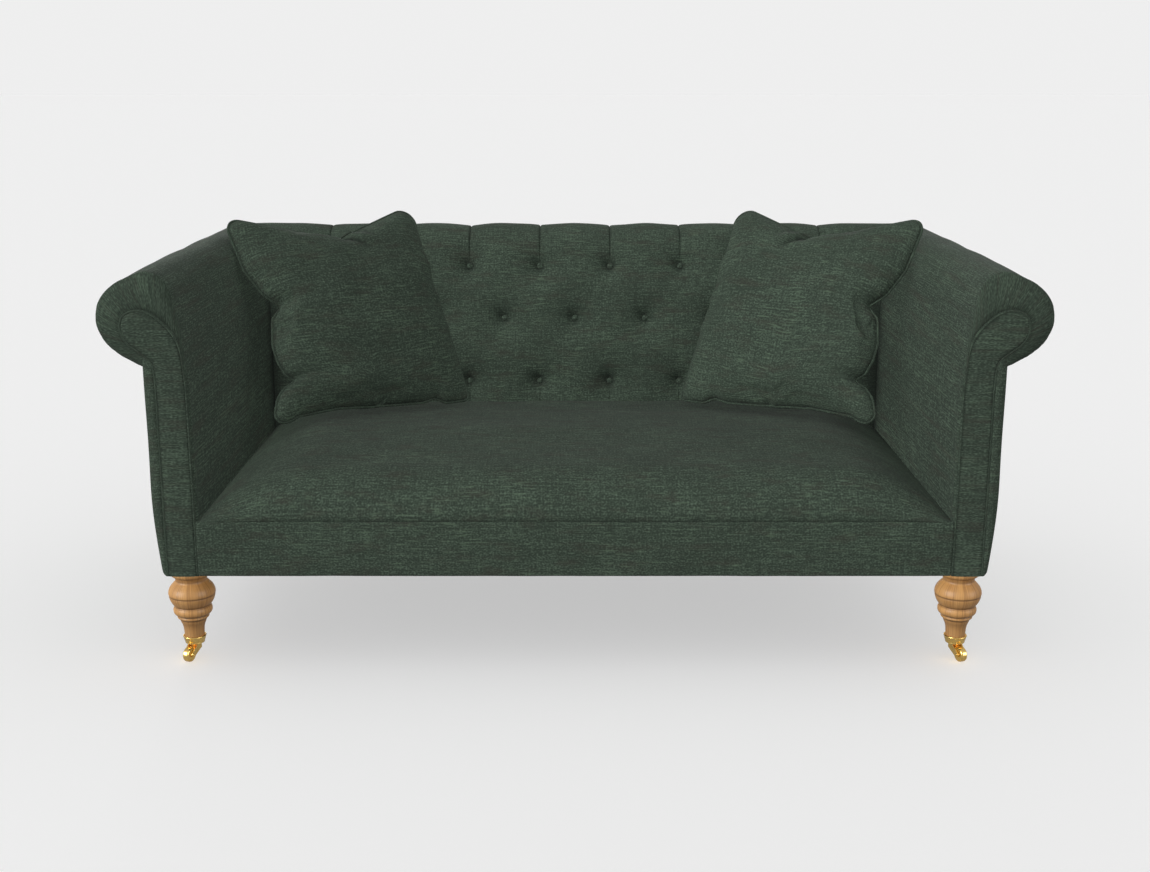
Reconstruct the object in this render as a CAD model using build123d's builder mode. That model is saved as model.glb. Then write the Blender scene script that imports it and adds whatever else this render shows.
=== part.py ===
from build123d import *
from math import asin, atan2, cos, degrees, pi, radians, sin, sqrt
import os

os.makedirs("parts", exist_ok=True)

# Two-seater sofa: +X to the right as seen from the front, +Y to the back, +Z up,
# origin on the floor under the middle of the sofa. All sizes in millimetres.

# Overall form
overall_width = 1700
overall_depth = 960
roll_height = 740
roll_radius = 86
arm_overhang = 75
back_overhang = 129
arm_bend_height = 480
back_bend_height = 400
arm_nose_radius = 48
back_nose_radius = 86
stem_step = 8

# Heights of the base and the seat
base_height = 185
seam_height = 288
seat_crown = 374
seat_back_height = 346
seat_side_run = 130
seat_front_run = 120
seat_crown_share = 0.45
seat_corner_run = 0.25
seat_corner_rise = 0.72

# Layers of the upholstery
soft_gap = 0.3
arm_cover_layer = 8
arm_rim_radius = 24
back_cover_layer = 20
facing_thickness = 12
facing_edge = 5
facing_stem = 54
facing_scroll_radius = 36
facing_top_drop = 67
facing_bend_height = 575
panel_thickness = 12
panel_corner = 14
liner_thickness = 3
cloth_thickness = 1.7
corner_reach = 60

# Timber frame
rail_thickness = 38
front_rail_thickness = 28
rail_depth_top = 65
tack_rail_height = 25
tack_rail_width = 18
tack_rail_lift = 16
front_board_thickness = 22
front_board_inset = 30
stump_width = 40
leg_block_length = 114
leg_block_width = 70
back_post_depth = 70
back_rake_run = 38
upright_spacing = 460
cross_rail_height = 55

# Webbing
strap_width = 50
strap_thickness = 2
seat_strap_count = 9
cross_strap_count = 4
back_strap_count = 7
back_cross_strap_count = 3

# Back buttons
button_spacing = 160
top_button_drop = 86
middle_button_drop = 201
foot_button_drop = 344
button_columns = 8
button_radius = 8
button_height = 5
tuft_radius = 32
tuft_depth = 13
tuft_height = 16
pleat_width = 5
pleat_depth = 5

# Scatter cushions
cushion_side = 430
cushion_crown = 128
cushion_edge = 9
cushion_draw_in = 12
cushion_skin = 5
cushion_fullness = 0.75
cushion_sections = 4
cushion_from_arm = 203
cushion_from_back = 134.6
cushion_above_seat = 188.7
cushion_turn = 38
cushion_lean = 27

# Legs
leg_inset = 51
front_leg_inset = 58
back_leg_inset = 70
collar_radius = 37.5
bulb_radius = 43
bead_radius = 36
cove_radius = 30
fillet_radius = 27
neck_radius = 18.8
collar_foot_z = 162
cove_z = 154
bulb_z = 132
bulb_foot_z = 101
bead_z = 89
bead_foot_z = 78
fillet_z = 74
neck_z = 58
back_leg_top = 58
back_leg_foot = 36
back_leg_rake = 30
bolt_radius = 4
bolt_length = 125
bolt_in_leg = 50
glide_radius = 14
glide_height = 6

# Castors
cup_radius = 21.5
cup_height = 18
cup_wall = 2.2
cup_bottom = 32
cup_taper = 0.8
wheel_radius = 14
wheel_width = 13
wheel_trail = 21
castor_yaw = 20
pivot_radius = 4
pivot_head_radius = 5.4
pivot_head_height = 2
fork_height = 11
cheek_thickness = 3
cheek_gap = 0.6
axle_radius = 2.5
running_gap = 0.05

# Places worked out from the sizes above
half_width = overall_width / 2
front_y = -overall_depth / 2
rear_y = overall_depth / 2
arm_axis_x = half_width - roll_radius
back_axis_y = rear_y - roll_radius
roll_axis_z = roll_height - roll_radius
roll_foot_z = roll_axis_z - roll_radius
inside_x = arm_axis_x - arm_overhang
inside_back_y = back_axis_y - back_overhang
outside_x = arm_axis_x + stem_step
outside_back_y = back_axis_y + stem_step
frame_x = outside_x - panel_thickness - soft_gap
frame_back_y = outside_back_y - panel_thickness - soft_gap
frame_inner_x = frame_x - rail_thickness
liner_x = frame_inner_x - liner_thickness
frame_z = base_height + cloth_thickness
block_top_z = seam_height - soft_gap - strap_thickness * 2
side_rail_top_z = block_top_z - strap_thickness * 3
end_rail_top_z = side_rail_top_z + strap_thickness
web_top_z = end_rail_top_z + strap_thickness
pad_foot_z = block_top_z + soft_gap
arm_front_y = front_y + facing_thickness + soft_gap
arm_core_y = arm_front_y + arm_cover_layer + soft_gap
board_back_y = arm_core_y + front_board_thickness
front_rail_y = front_y + facing_thickness + soft_gap
front_rail_back_y = front_rail_y + front_rail_thickness
back_rail_y = frame_back_y - back_post_depth
top_rail_z = roll_axis_z - soft_gap
top_rail_foot_z = top_rail_z - rail_depth_top
leg_x = outside_x - leg_inset
front_leg_y = front_y + front_leg_inset
back_leg_y = outside_back_y - back_leg_inset
block_inner_x = frame_x - leg_block_width
button_rows = (
    (roll_height - top_button_drop, button_columns),
    (roll_height - middle_button_drop, button_columns - 1),
    (roll_height - foot_button_drop, button_columns),
)
cushion_center = (
    inside_x - cushion_from_arm,
    inside_back_y - cushion_from_back,
    seat_crown + cushion_above_seat,
)
quarter_turn = 90


def save(piece, name):
    """Label one finished piece and write it out."""
    piece.part.label = name
    export_step(piece.part, f"parts/{name}.step")


def sweep_radius(bend, overhang, nose):
    """Radius of the long curve that leads from the upright inside face into the nose of the roll."""
    return (overhang**2 + (roll_height - nose - bend) ** 2 - nose**2) / (2 * (overhang - nose))


def scroll_outline(foot, bend, axis, overhang, nose, inset):
    """Draw a scroll: upright inside face, rolled top, half-round lip and the stem behind the face."""
    face = axis - overhang + inset
    low = roll_height - 2 * roll_radius + inset
    lip_top = low + arm_rim_radius + stem_step - inset
    lip_at = axis - (stem_step + inset) / 4
    stem_at = axis - 2 * stem_step + inset / 8
    sweep = sweep_radius(bend, overhang, nose)
    tilt = degrees(atan2(roll_height - nose - bend, sweep - overhang))
    Line((face, foot), (face, bend))
    CenterArc((axis - overhang + sweep, bend), sweep - inset, 180 - tilt, tilt)
    CenterArc((axis, roll_height - nose), nose - inset, 90, 90 - tilt)
    CenterArc((axis, roll_height - roll_radius), roll_radius - inset, -90, 180)
    Polyline(
        (axis, low),
        (lip_at, low),
        (lip_at, lip_top),
        (stem_at, lip_top),
        (stem_at, foot),
        (face, foot),
    )


def arm_outline(inset, foot):
    """Draw the scroll of the right arm, seen from the front."""
    scroll_outline(foot, arm_bend_height, arm_axis_x, arm_overhang, arm_nose_radius, inset)


def back_outline(inset, foot):
    """Draw the scroll of the back, seen from the side."""
    scroll_outline(foot, back_bend_height, back_axis_y, back_overhang, back_nose_radius, inset)


def back_face(height):
    """Depth of the inside back at a height, with the slope of its face from upright in radians."""
    rise = max(height - back_bend_height, 0)
    sweep = sweep_radius(back_bend_height, back_overhang, back_nose_radius)
    return inside_back_y + sweep - sqrt(sweep**2 - rise**2), asin(rise / sweep)


def rake_y(height, proud=0):
    """Depth of the raked front edge of the back timbers at a height."""
    share = (height - block_top_z) / (top_rail_foot_z - block_top_z)
    return back_rail_y + back_rake_run * share - proud


def timber_outline(foot, top):
    """Draw the side view of a back timber: raked front edge, upright rear edge."""
    Polyline((rake_y(foot), foot), (rake_y(top), top), (frame_back_y, top), (frame_back_y, foot), close=True)


# Plan of the corner seam between arm and back: from the inside corner out along the mitre of the rolls
corner_seam = [
    (inside_x, inside_back_y),
    (arm_axis_x, back_axis_y),
    (half_width + corner_reach, rear_y + corner_reach),
]

with BuildPart() as arm_end:
    with BuildSketch():
        with BuildLine():
            seam = [(x, y - soft_gap) for x, y in corner_seam]
            Polyline(*seam, (inside_x, rear_y + corner_reach), close=True)
        make_face()
    extrude(amount=roll_height + corner_reach)

with BuildPart() as back_end:
    with BuildSketch():
        with BuildLine():
            Polyline(*corner_seam, (half_width + corner_reach, inside_back_y), close=True)
        make_face()
    extrude(amount=roll_height + corner_reach)
    mirror(about=Plane.YZ)


# Seat rails: a box of hardwood planks between the four leg blocks
with BuildPart() as front_seat_rail:
    with BuildSketch(Plane.XY.offset(frame_z)):
        with Locations((0, front_rail_y)):
            Rectangle(2 * block_inner_x, front_rail_thickness, align=(Align.CENTER, Align.MIN))
    extrude(amount=end_rail_top_z - frame_z)
save(front_seat_rail, "front_seat_rail")

with BuildPart() as back_seat_rail:
    with BuildSketch(Plane.XY.offset(frame_z)):
        with Locations((0, back_rail_y)):
            Rectangle(2 * block_inner_x, rail_thickness, align=(Align.CENTER, Align.MIN))
    extrude(amount=end_rail_top_z - frame_z)
save(back_seat_rail, "back_seat_rail")

front_block_back_y = front_rail_y + leg_block_length
back_block_front_y = frame_back_y - leg_block_length
with BuildPart() as right_side_rail:
    with BuildSketch(Plane.XY.offset(frame_z)):
        with Locations((frame_x, front_block_back_y)):
            Rectangle(rail_thickness, back_block_front_y - front_block_back_y, align=(Align.MAX, Align.MIN))
    extrude(amount=side_rail_top_z - frame_z)
save(right_side_rail, "right_side_rail")

with BuildPart() as left_side_rail:
    mirror(right_side_rail.part, about=Plane.YZ)
save(left_side_rail, "left_side_rail")

with BuildPart() as seat_cross_rail:
    with BuildSketch(Plane.XY.offset(frame_z)):
        with Locations((0, front_rail_back_y)):
            Rectangle(rail_thickness, back_rail_y - front_rail_back_y, align=(Align.CENTER, Align.MIN))
    extrude(amount=cross_rail_height)
save(seat_cross_rail, "seat_cross_rail")

# Leg blocks: one in each corner, bored for the leg bolts
leg_points = [(side * leg_x, y) for side in (-1, 1) for y in (front_leg_y, back_leg_y)]
bolt_top_z = frame_z + bolt_length - bolt_in_leg
with BuildPart() as leg_blocks:
    with BuildSketch(Plane.XY.offset(frame_z)):
        for side in (-1, 1):
            for block_y in (front_rail_y, back_block_front_y):
                with Locations((side * (block_inner_x + leg_block_width / 2), block_y)):
                    Rectangle(leg_block_width, leg_block_length, align=(Align.CENTER, Align.MIN))
    extrude(amount=block_top_z - frame_z)
    with BuildSketch(Plane.XY.offset(frame_z)):
        with Locations(*leg_points):
            Circle(bolt_radius + running_gap)
    extrude(amount=bolt_top_z - frame_z + running_gap, mode=Mode.SUBTRACT)
save(leg_blocks, "leg_blocks")

# Arm frames: scroll-shaped front board, top rail inside the roll, tack rail and stump
with BuildPart() as right_arm_front_board:
    with BuildSketch(Plane.XZ.offset(-board_back_y)):
        with BuildLine():
            arm_outline(front_board_inset, block_top_z)
        make_face()
    extrude(amount=front_board_thickness)
save(right_arm_front_board, "right_arm_front_board")

with BuildPart() as left_arm_front_board:
    mirror(right_arm_front_board.part, about=Plane.YZ)
save(left_arm_front_board, "left_arm_front_board")

with BuildPart() as right_arm_top_rail:
    with BuildSketch(Plane.XY.offset(top_rail_foot_z)):
        with Locations((frame_x, board_back_y)):
            Rectangle(frame_x - liner_x, frame_back_y - board_back_y, align=(Align.MAX, Align.MIN))
    extrude(amount=rail_depth_top)
    with BuildSketch(Plane.YZ.offset(liner_x)):
        with BuildLine():
            timber_outline(top_rail_foot_z, top_rail_z)
        make_face()
    extrude(amount=rail_thickness * 2, mode=Mode.SUBTRACT)
    add(arm_end.part, mode=Mode.SUBTRACT)
save(right_arm_top_rail, "right_arm_top_rail")

with BuildPart() as left_arm_top_rail:
    mirror(right_arm_top_rail.part, about=Plane.YZ)
save(left_arm_top_rail, "left_arm_top_rail")

tack_foot_z = block_top_z + tack_rail_lift
with BuildPart() as right_arm_tack_rail:
    with BuildSketch(Plane.XY.offset(tack_foot_z)):
        with Locations((frame_inner_x, board_back_y)):
            Rectangle(tack_rail_width, back_rail_y - board_back_y, align=(Align.MIN, Align.MIN))
    extrude(amount=tack_rail_height)
save(right_arm_tack_rail, "right_arm_tack_rail")

with BuildPart() as left_arm_tack_rail:
    mirror(right_arm_tack_rail.part, about=Plane.YZ)
save(left_arm_tack_rail, "left_arm_tack_rail")

stump_y = (front_block_back_y + back_block_front_y) / 2
with BuildPart() as arm_stumps:
    with BuildSketch(Plane.XY.offset(side_rail_top_z)):
        with Locations((frame_x, stump_y)):
            Rectangle(rail_thickness - tack_rail_width, stump_width, align=(Align.MAX, Align.CENTER))
    extrude(amount=top_rail_foot_z - side_rail_top_z)
    mirror(about=Plane.YZ)
save(arm_stumps, "arm_stumps")

# Back frame: corner posts, two uprights, top rail inside the roll and a lower rail for the webbing
with BuildPart() as right_back_post:
    with BuildSketch(Plane.YZ.offset(frame_inner_x)):
        with BuildLine():
            timber_outline(block_top_z, top_rail_foot_z)
        make_face()
    extrude(amount=rail_thickness)
save(right_back_post, "right_back_post")

with BuildPart() as left_back_post:
    mirror(right_back_post.part, about=Plane.YZ)
save(left_back_post, "left_back_post")

lower_rail_foot_z = end_rail_top_z + tack_rail_lift
lower_rail_top_z = lower_rail_foot_z + tack_rail_height
with BuildPart() as back_uprights:
    with BuildSketch(Plane.YZ.offset(upright_spacing / 2)):
        with BuildLine():
            timber_outline(lower_rail_top_z, top_rail_foot_z)
        make_face()
    extrude(amount=rail_thickness / 2, both=True)
    mirror(about=Plane.YZ)
save(back_uprights, "back_uprights")

with BuildPart() as back_lower_rail:
    with BuildSketch(Plane.YZ):
        with BuildLine():
            timber_outline(lower_rail_foot_z, lower_rail_top_z)
        make_face()
    extrude(amount=frame_inner_x, both=True)
save(back_lower_rail, "back_lower_rail")

with BuildPart() as back_top_rail:
    with BuildSketch(Plane.YZ):
        with BuildLine():
            timber_outline(top_rail_foot_z, top_rail_z)
        make_face()
    extrude(amount=frame_x, both=True)
save(back_top_rail, "back_top_rail")


# Supports under the padding: seat webbing on the rails, back webbing and arm liner boards
with BuildPart() as seat_webbing:
    with BuildSketch(Plane.XY.offset(side_rail_top_z)):
        side_run = back_block_front_y - front_block_back_y
        with Locations((0, stump_y)):
            with GridLocations(0, side_run / cross_strap_count, 1, cross_strap_count):
                Rectangle(2 * (frame_x - tack_rail_width), strap_width)
    extrude(amount=strap_thickness)
    with BuildSketch(Plane.XY.offset(end_rail_top_z)):
        with Locations((0, (front_rail_y + back_rail_y + rail_thickness) / 2)):
            with GridLocations(2 * block_inner_x / seat_strap_count, 0, seat_strap_count, 1):
                Rectangle(strap_width, back_rail_y + rail_thickness - front_rail_y - 2 * strap_thickness)
    extrude(amount=strap_thickness)
save(seat_webbing, "seat_webbing")


def strap_outline(foot, top, proud):
    """Draw the side view of a strap lying on the raked front of the back timbers."""
    Polyline(
        (rake_y(foot, proud), foot),
        (rake_y(top, proud), top),
        (rake_y(top, proud + strap_thickness), top),
        (rake_y(foot, proud + strap_thickness), foot),
        close=True,
    )


back_strap_rise = (top_rail_foot_z - lower_rail_top_z) / (back_cross_strap_count + 1)
with BuildPart() as back_webbing:
    for column in range(back_strap_count):
        strap_x = (column - (back_strap_count - 1) / 2) * button_spacing
        with BuildSketch(Plane.YZ.offset(strap_x)):
            with BuildLine():
                strap_outline(lower_rail_foot_z, top_rail_z, 0)
            make_face()
        extrude(amount=strap_width / 2, both=True)
    for row in range(back_cross_strap_count):
        strap_z = lower_rail_top_z + (row + 1) * back_strap_rise
        with BuildSketch(Plane.YZ):
            with BuildLine():
                strap_outline(strap_z - strap_width / 2, strap_z + strap_width / 2, strap_thickness)
            make_face()
        extrude(amount=frame_inner_x, both=True)
save(back_webbing, "back_webbing")

with BuildPart() as right_arm_liner:
    with BuildSketch(Plane.XY.offset(pad_foot_z)):
        with Locations((liner_x, board_back_y)):
            Rectangle(liner_thickness, back_rail_y - board_back_y, align=(Align.MIN, Align.MIN))
    extrude(amount=top_rail_foot_z - pad_foot_z)
    add(arm_end.part, mode=Mode.SUBTRACT)
save(right_arm_liner, "right_arm_liner")

with BuildPart() as left_arm_liner:
    mirror(right_arm_liner.part, about=Plane.YZ)
save(left_arm_liner, "left_arm_liner")


# Seat: foam block on the webbing under a crowned cover that is sewn to the front border
seat_half = inside_x - soft_gap
seat_front_y = front_y + soft_gap
seat_back_y = inside_back_y - soft_gap
seat_length = seat_back_y - seat_front_y
with BuildPart() as seat_foam:
    with BuildSketch(Plane.XY.offset(web_top_z + soft_gap)):
        with Locations((0, (seat_front_y + seat_back_y) / 2)):
            Rectangle(2 * seat_half - seat_side_run, seat_length - seat_front_run)
    extrude(amount=(seat_crown - seam_height) / 2)
save(seat_foam, "seat_foam")

crown_y = seat_front_y + seat_length * seat_crown_share
shoulder_drop = (seat_crown - seat_back_height) / 4
seat_shoulder = seat_crown - shoulder_drop
seat_corner = seam_height + (seat_shoulder - seam_height) * seat_corner_rise
with BuildPart() as seat_cover:
    with BuildSketch(Plane.YZ.offset(-seat_half)):
        with BuildLine():
            ThreePointArc(
                (seat_front_y, seam_height),
                (seat_front_y + seat_front_run * seat_corner_run, seat_corner),
                (seat_front_y + seat_front_run, seat_shoulder),
            )
            ThreePointArc(
                (seat_front_y + seat_front_run, seat_shoulder),
                (crown_y, seat_crown),
                (seat_back_y, seat_back_height),
            )
            Polyline((seat_back_y, seat_back_height), (seat_back_y, seam_height), (seat_front_y, seam_height))
        make_face()
    extrude(amount=2 * seat_half)
    with BuildSketch(Plane.XZ.offset(-seat_back_y)):
        with BuildLine():
            Line((-seat_half, seam_height), (seat_half, seam_height))
            for side in (1, -1):
                ThreePointArc(
                    (side * seat_half, seam_height),
                    (side * (seat_half - seat_side_run * seat_corner_run), seat_corner),
                    (side * (seat_half - seat_side_run), seat_shoulder),
                )
            ThreePointArc(
                (seat_side_run - seat_half, seat_shoulder),
                (0, seat_crown),
                (seat_half - seat_side_run, seat_shoulder),
            )
        make_face()
    extrude(amount=seat_length, mode=Mode.INTERSECT)
    with BuildSketch(Plane.XY.offset(web_top_z)):
        with Locations((0, (seat_front_y + seat_back_y) / 2)):
            foam_room = 2 * soft_gap
            Rectangle(2 * seat_half - seat_side_run + foam_room, seat_length - seat_front_run + foam_room)
    extrude(amount=(seat_crown - seam_height) / 2 + 2 * soft_gap, mode=Mode.SUBTRACT)
save(seat_cover, "seat_cover")

border_half = inside_x + facing_edge - soft_gap
with BuildPart() as front_border:
    with BuildSketch(Plane.XY.offset(base_height)):
        with Locations((0, front_y)):
            Rectangle(2 * border_half, facing_thickness, align=(Align.CENTER, Align.MIN))
    extrude(amount=seam_height - soft_gap - base_height)
    front = front_border.faces().sort_by(Axis.Y)[0]
    fillet(front.edges().filter_by(Axis.X), radius=facing_thickness / 3)
save(front_border, "front_border")


def arm_body(inset, foot, front, rear):
    """Right arm as one block, its front rim rounded over."""
    with BuildPart() as body:
        with BuildSketch(Plane.XZ.offset(-rear)):
            with BuildLine():
                arm_outline(inset, foot)
            make_face()
        extrude(amount=rear - front)
        rim = body.faces().sort_by(Axis.Y)[0].edges().filter_by(GeomType.LINE, reverse=True)
        fillet(rim, radius=arm_rim_radius - inset)
    return body.part


# Arms: foam over the liner and round the top rail, under a padded cover that turns over the front rim
arm_shape = arm_body(0, pad_foot_z, arm_front_y, rear_y)
arm_hollow = arm_body(arm_cover_layer, base_height, arm_front_y + arm_cover_layer, rear_y + corner_reach)
arm_filling = arm_body(arm_cover_layer + soft_gap, pad_foot_z, arm_core_y, rear_y)

with BuildPart() as right_arm_cover:
    add(arm_shape)
    add(arm_hollow, mode=Mode.SUBTRACT)
    add(arm_end.part, mode=Mode.SUBTRACT)
save(right_arm_cover, "right_arm_cover")

with BuildPart() as left_arm_cover:
    mirror(right_arm_cover.part, about=Plane.YZ)
save(left_arm_cover, "left_arm_cover")

with BuildPart() as right_arm_foam:
    add(arm_filling)
    with BuildSketch(Plane.XZ.offset(-rear_y)):
        with Locations((liner_x - soft_gap, base_height)):
            Rectangle(
                frame_x - liner_x + 2 * soft_gap,
                top_rail_z + soft_gap - base_height,
                align=(Align.MIN, Align.MIN),
            )
    extrude(amount=overall_depth, mode=Mode.SUBTRACT)
    with BuildSketch(Plane.XZ.offset(-board_back_y - soft_gap)):
        with BuildLine():
            arm_outline(front_board_inset - soft_gap, base_height)
        make_face()
    extrude(amount=2 * front_board_thickness, mode=Mode.SUBTRACT)
    add(arm_end.part, mode=Mode.SUBTRACT)
save(right_arm_foam, "right_arm_foam")

with BuildPart() as left_arm_foam:
    mirror(right_arm_foam.part, about=Plane.YZ)
save(left_arm_foam, "left_arm_foam")

facing_x = inside_x + facing_edge
facing_axis_x = arm_axis_x + stem_step / 2
facing_top_z = roll_height - facing_top_drop
facing_curl_z = facing_top_z - facing_scroll_radius
with BuildPart() as right_arm_facing:
    with BuildSketch(Plane.XZ.offset(-front_y - facing_thickness)):
        with BuildLine():
            Line((facing_x, base_height), (facing_x, facing_bend_height))
            EllipticalCenterArc(
                (facing_axis_x, facing_bend_height),
                facing_axis_x - facing_x,
                facing_top_z - facing_bend_height,
                quarter_turn,
                arc_size=quarter_turn,
            )
            CenterArc((facing_axis_x, facing_curl_z), facing_scroll_radius, -quarter_turn, 2 * quarter_turn)
            Polyline(
                (facing_axis_x, facing_curl_z - facing_scroll_radius),
                (facing_x + facing_stem, facing_bend_height),
                (facing_x + facing_stem, base_height),
                (facing_x, base_height),
            )
        make_face()
    extrude(amount=facing_thickness)
save(right_arm_facing, "right_arm_facing")

with BuildPart() as left_arm_facing:
    mirror(right_arm_facing.part, about=Plane.YZ)
save(left_arm_facing, "left_arm_facing")

panel_top_z = roll_foot_z - soft_gap
panel_front_y = arm_front_y - soft_gap - panel_thickness
panel_return_x = facing_x + facing_stem + soft_gap
with BuildPart() as right_outside_arm:
    with BuildSketch(Plane.XY.offset(base_height)):
        with Locations((outside_x, panel_front_y)):
            Rectangle(outside_x - panel_return_x, frame_back_y - panel_front_y, align=(Align.MAX, Align.MIN))
        corner = vertices().sort_by(Axis.Y)[:2].sort_by(Axis.X)[-1]
        fillet(corner, radius=panel_corner)
        with Locations((outside_x - panel_thickness, panel_front_y + panel_thickness)):
            Rectangle(overall_width, overall_depth, align=(Align.MAX, Align.MIN), mode=Mode.SUBTRACT)
    extrude(amount=panel_top_z - base_height)
save(right_outside_arm, "right_outside_arm")

with BuildPart() as left_outside_arm:
    mirror(right_outside_arm.part, about=Plane.YZ)
save(left_outside_arm, "left_outside_arm")

# Back: foam in front of the webbing and round the top rail, under a thick buttoned cover
with BuildPart() as back_foam:
    with BuildSketch(Plane.YZ.offset(-half_width)):
        with BuildLine():
            back_outline(back_cover_layer + soft_gap, pad_foot_z)
        make_face()
    extrude(amount=overall_width)
    with BuildSketch(Plane.YZ.offset(-half_width)):
        with BuildLine():
            web_proud = 2 * strap_thickness + soft_gap
            rail_roof_z = top_rail_z + soft_gap
            Polyline(
                (rake_y(base_height, web_proud), base_height),
                (rake_y(rail_roof_z, web_proud), rail_roof_z),
                (frame_back_y + soft_gap, rail_roof_z),
                (frame_back_y + soft_gap, base_height),
                close=True,
            )
        make_face()
    extrude(amount=overall_width, mode=Mode.SUBTRACT)
    add(back_end.part, mode=Mode.SUBTRACT)
save(back_foam, "back_foam")

# One plane on the inside back for each button, facing out of the padding
button_planes = []
for row_z, row_count in button_rows:
    row_y, row_slope = back_face(row_z)
    facing_out = (0, -cos(row_slope), sin(row_slope))
    for column in range(row_count):
        button_x = (column - (row_count - 1) / 2) * button_spacing
        button_planes.append(Plane((button_x, row_y, row_z), x_dir=(1, 0, 0), z_dir=facing_out))

top_row_z, top_row_count = button_rows[0]
foot_row_z, foot_row_count = button_rows[-1]
with BuildPart() as back_cover:
    with BuildSketch(Plane.YZ.offset(-half_width)):
        with BuildLine():
            back_outline(0, pad_foot_z)
        make_face()
    extrude(amount=overall_width)
    with BuildSketch(Plane.YZ.offset(-half_width)):
        with BuildLine():
            back_outline(back_cover_layer, base_height)
        make_face()
    extrude(amount=overall_width, mode=Mode.SUBTRACT)
    add(back_end.part, mode=Mode.SUBTRACT)
    # Pleats run from the top buttons over the roll and from the lowest buttons down to the seat
    for column in range(top_row_count):
        pleat_x = (column - (top_row_count - 1) / 2) * button_spacing
        with BuildSketch(Plane.YZ.offset(pleat_x)):
            with BuildLine():
                back_outline(0, pad_foot_z)
            make_face()
            with BuildLine():
                back_outline(pleat_depth, base_height)
            make_face(mode=Mode.SUBTRACT)
            with Locations((inside_back_y, foot_row_z)):
                Rectangle(
                    2 * back_overhang,
                    top_row_z - foot_row_z,
                    align=(Align.CENTER, Align.MIN),
                    mode=Mode.SUBTRACT,
                )
        extrude(amount=pleat_width / 2, both=True, mode=Mode.SUBTRACT)
    with Locations(*[plane.offset(-tuft_depth) for plane in button_planes]):
        Cone(
            button_radius + soft_gap,
            tuft_radius,
            tuft_height,
            align=(Align.CENTER, Align.CENTER, Align.MIN),
            mode=Mode.SUBTRACT,
        )
save(back_cover, "back_cover")

with BuildPart() as back_buttons:
    with Locations(*[plane.offset(-tuft_depth) for plane in button_planes]):
        Cylinder(button_radius, button_height, align=(Align.CENTER, Align.CENTER, Align.MIN))
    crowns = back_buttons.faces().filter_by(GeomType.PLANE).filter_by(lambda face: face.normal_at().Y < 0)
    fillet(crowns.edges(), radius=button_height / 2)
save(back_buttons, "back_buttons")

with BuildPart() as outside_back:
    with BuildSketch(Plane.XY.offset(base_height)):
        with Locations((0, outside_back_y)):
            Rectangle(2 * outside_x, panel_thickness, align=(Align.CENTER, Align.MAX))
    extrude(amount=panel_top_z - base_height)
    fillet(outside_back.edges().filter_by(Axis.Z).group_by(Axis.Y)[-1], radius=panel_thickness / 2)
save(outside_back, "outside_back")

back_leg_hole = back_leg_top + 2 * panel_thickness
with BuildPart() as bottom_cloth:
    with BuildSketch(Plane.XY.offset(base_height)):
        with Locations((0, front_rail_y)):
            Rectangle(2 * frame_x, frame_back_y - front_rail_y, align=(Align.CENTER, Align.MIN))
        with Locations((-leg_x, front_leg_y), (leg_x, front_leg_y)):
            Circle(collar_radius + soft_gap, mode=Mode.SUBTRACT)
        with Locations((-leg_x, back_leg_y), (leg_x, back_leg_y)):
            Rectangle(back_leg_hole, back_leg_hole, mode=Mode.SUBTRACT)
    extrude(amount=cloth_thickness)
save(bottom_cloth, "bottom_cloth")


# Scatter cushions: a filling in a sewn cover, leaning in the corners between arm and back
turn = radians(cushion_turn)
lean = radians(cushion_lean)
cushion_plane = Plane(
    cushion_center,
    x_dir=(cos(turn), -sin(turn), 0),
    z_dir=(-cos(lean) * sin(turn), -cos(lean) * cos(turn), sin(lean)),
)
cushion_steps = range(-cushion_sections, cushion_sections + 1)
cushion_stations = [sin(pi / 2 * step / cushion_sections) for step in cushion_steps]


def pillow(inset):
    """Crowned pillow with its four sides drawn in between the corners."""
    half = cushion_side / 2 - inset
    crown = cushion_crown - 2 * inset
    edge = max(cushion_edge - inset, cushion_edge / 4)
    draw_radius = (half**2 + cushion_draw_in**2) / (2 * cushion_draw_in)
    with BuildPart() as body:
        for station in cushion_stations:
            reach = half - cushion_draw_in * cos(station * pi / 2)
            swell = (edge + (crown - edge) * (1 - station**2) ** cushion_fullness) / 2
            place = cushion_plane.from_local_coords((station * half, 0, 0))
            with BuildSketch(Plane(place, x_dir=cushion_plane.y_dir, z_dir=cushion_plane.x_dir)):
                with BuildLine():
                    ThreePointArc((-reach, 0), (0, swell), (reach, 0))
                    ThreePointArc((-reach, 0), (0, -swell), (reach, 0))
                make_face()
        loft()
        with BuildSketch(cushion_plane):
            side_x = half - cushion_draw_in + draw_radius
            with Locations((side_x, 0), (-side_x, 0)):
                Circle(draw_radius)
        extrude(amount=cushion_crown, both=True, mode=Mode.SUBTRACT)
    return body.part


pillow_shape = pillow(0)
pillow_hollow = pillow(cushion_skin)
pillow_filling = pillow(cushion_skin + soft_gap)

with BuildPart() as right_cushion_cover:
    add(pillow_shape)
    add(pillow_hollow, mode=Mode.SUBTRACT)
save(right_cushion_cover, "right_cushion_cover")

with BuildPart() as left_cushion_cover:
    mirror(right_cushion_cover.part, about=Plane.YZ)
save(left_cushion_cover, "left_cushion_cover")

with BuildPart() as right_cushion_filling:
    add(pillow_filling)
save(right_cushion_filling, "right_cushion_filling")

with BuildPart() as left_cushion_filling:
    mirror(right_cushion_filling.part, about=Plane.YZ)
save(left_cushion_filling, "left_cushion_filling")


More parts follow.
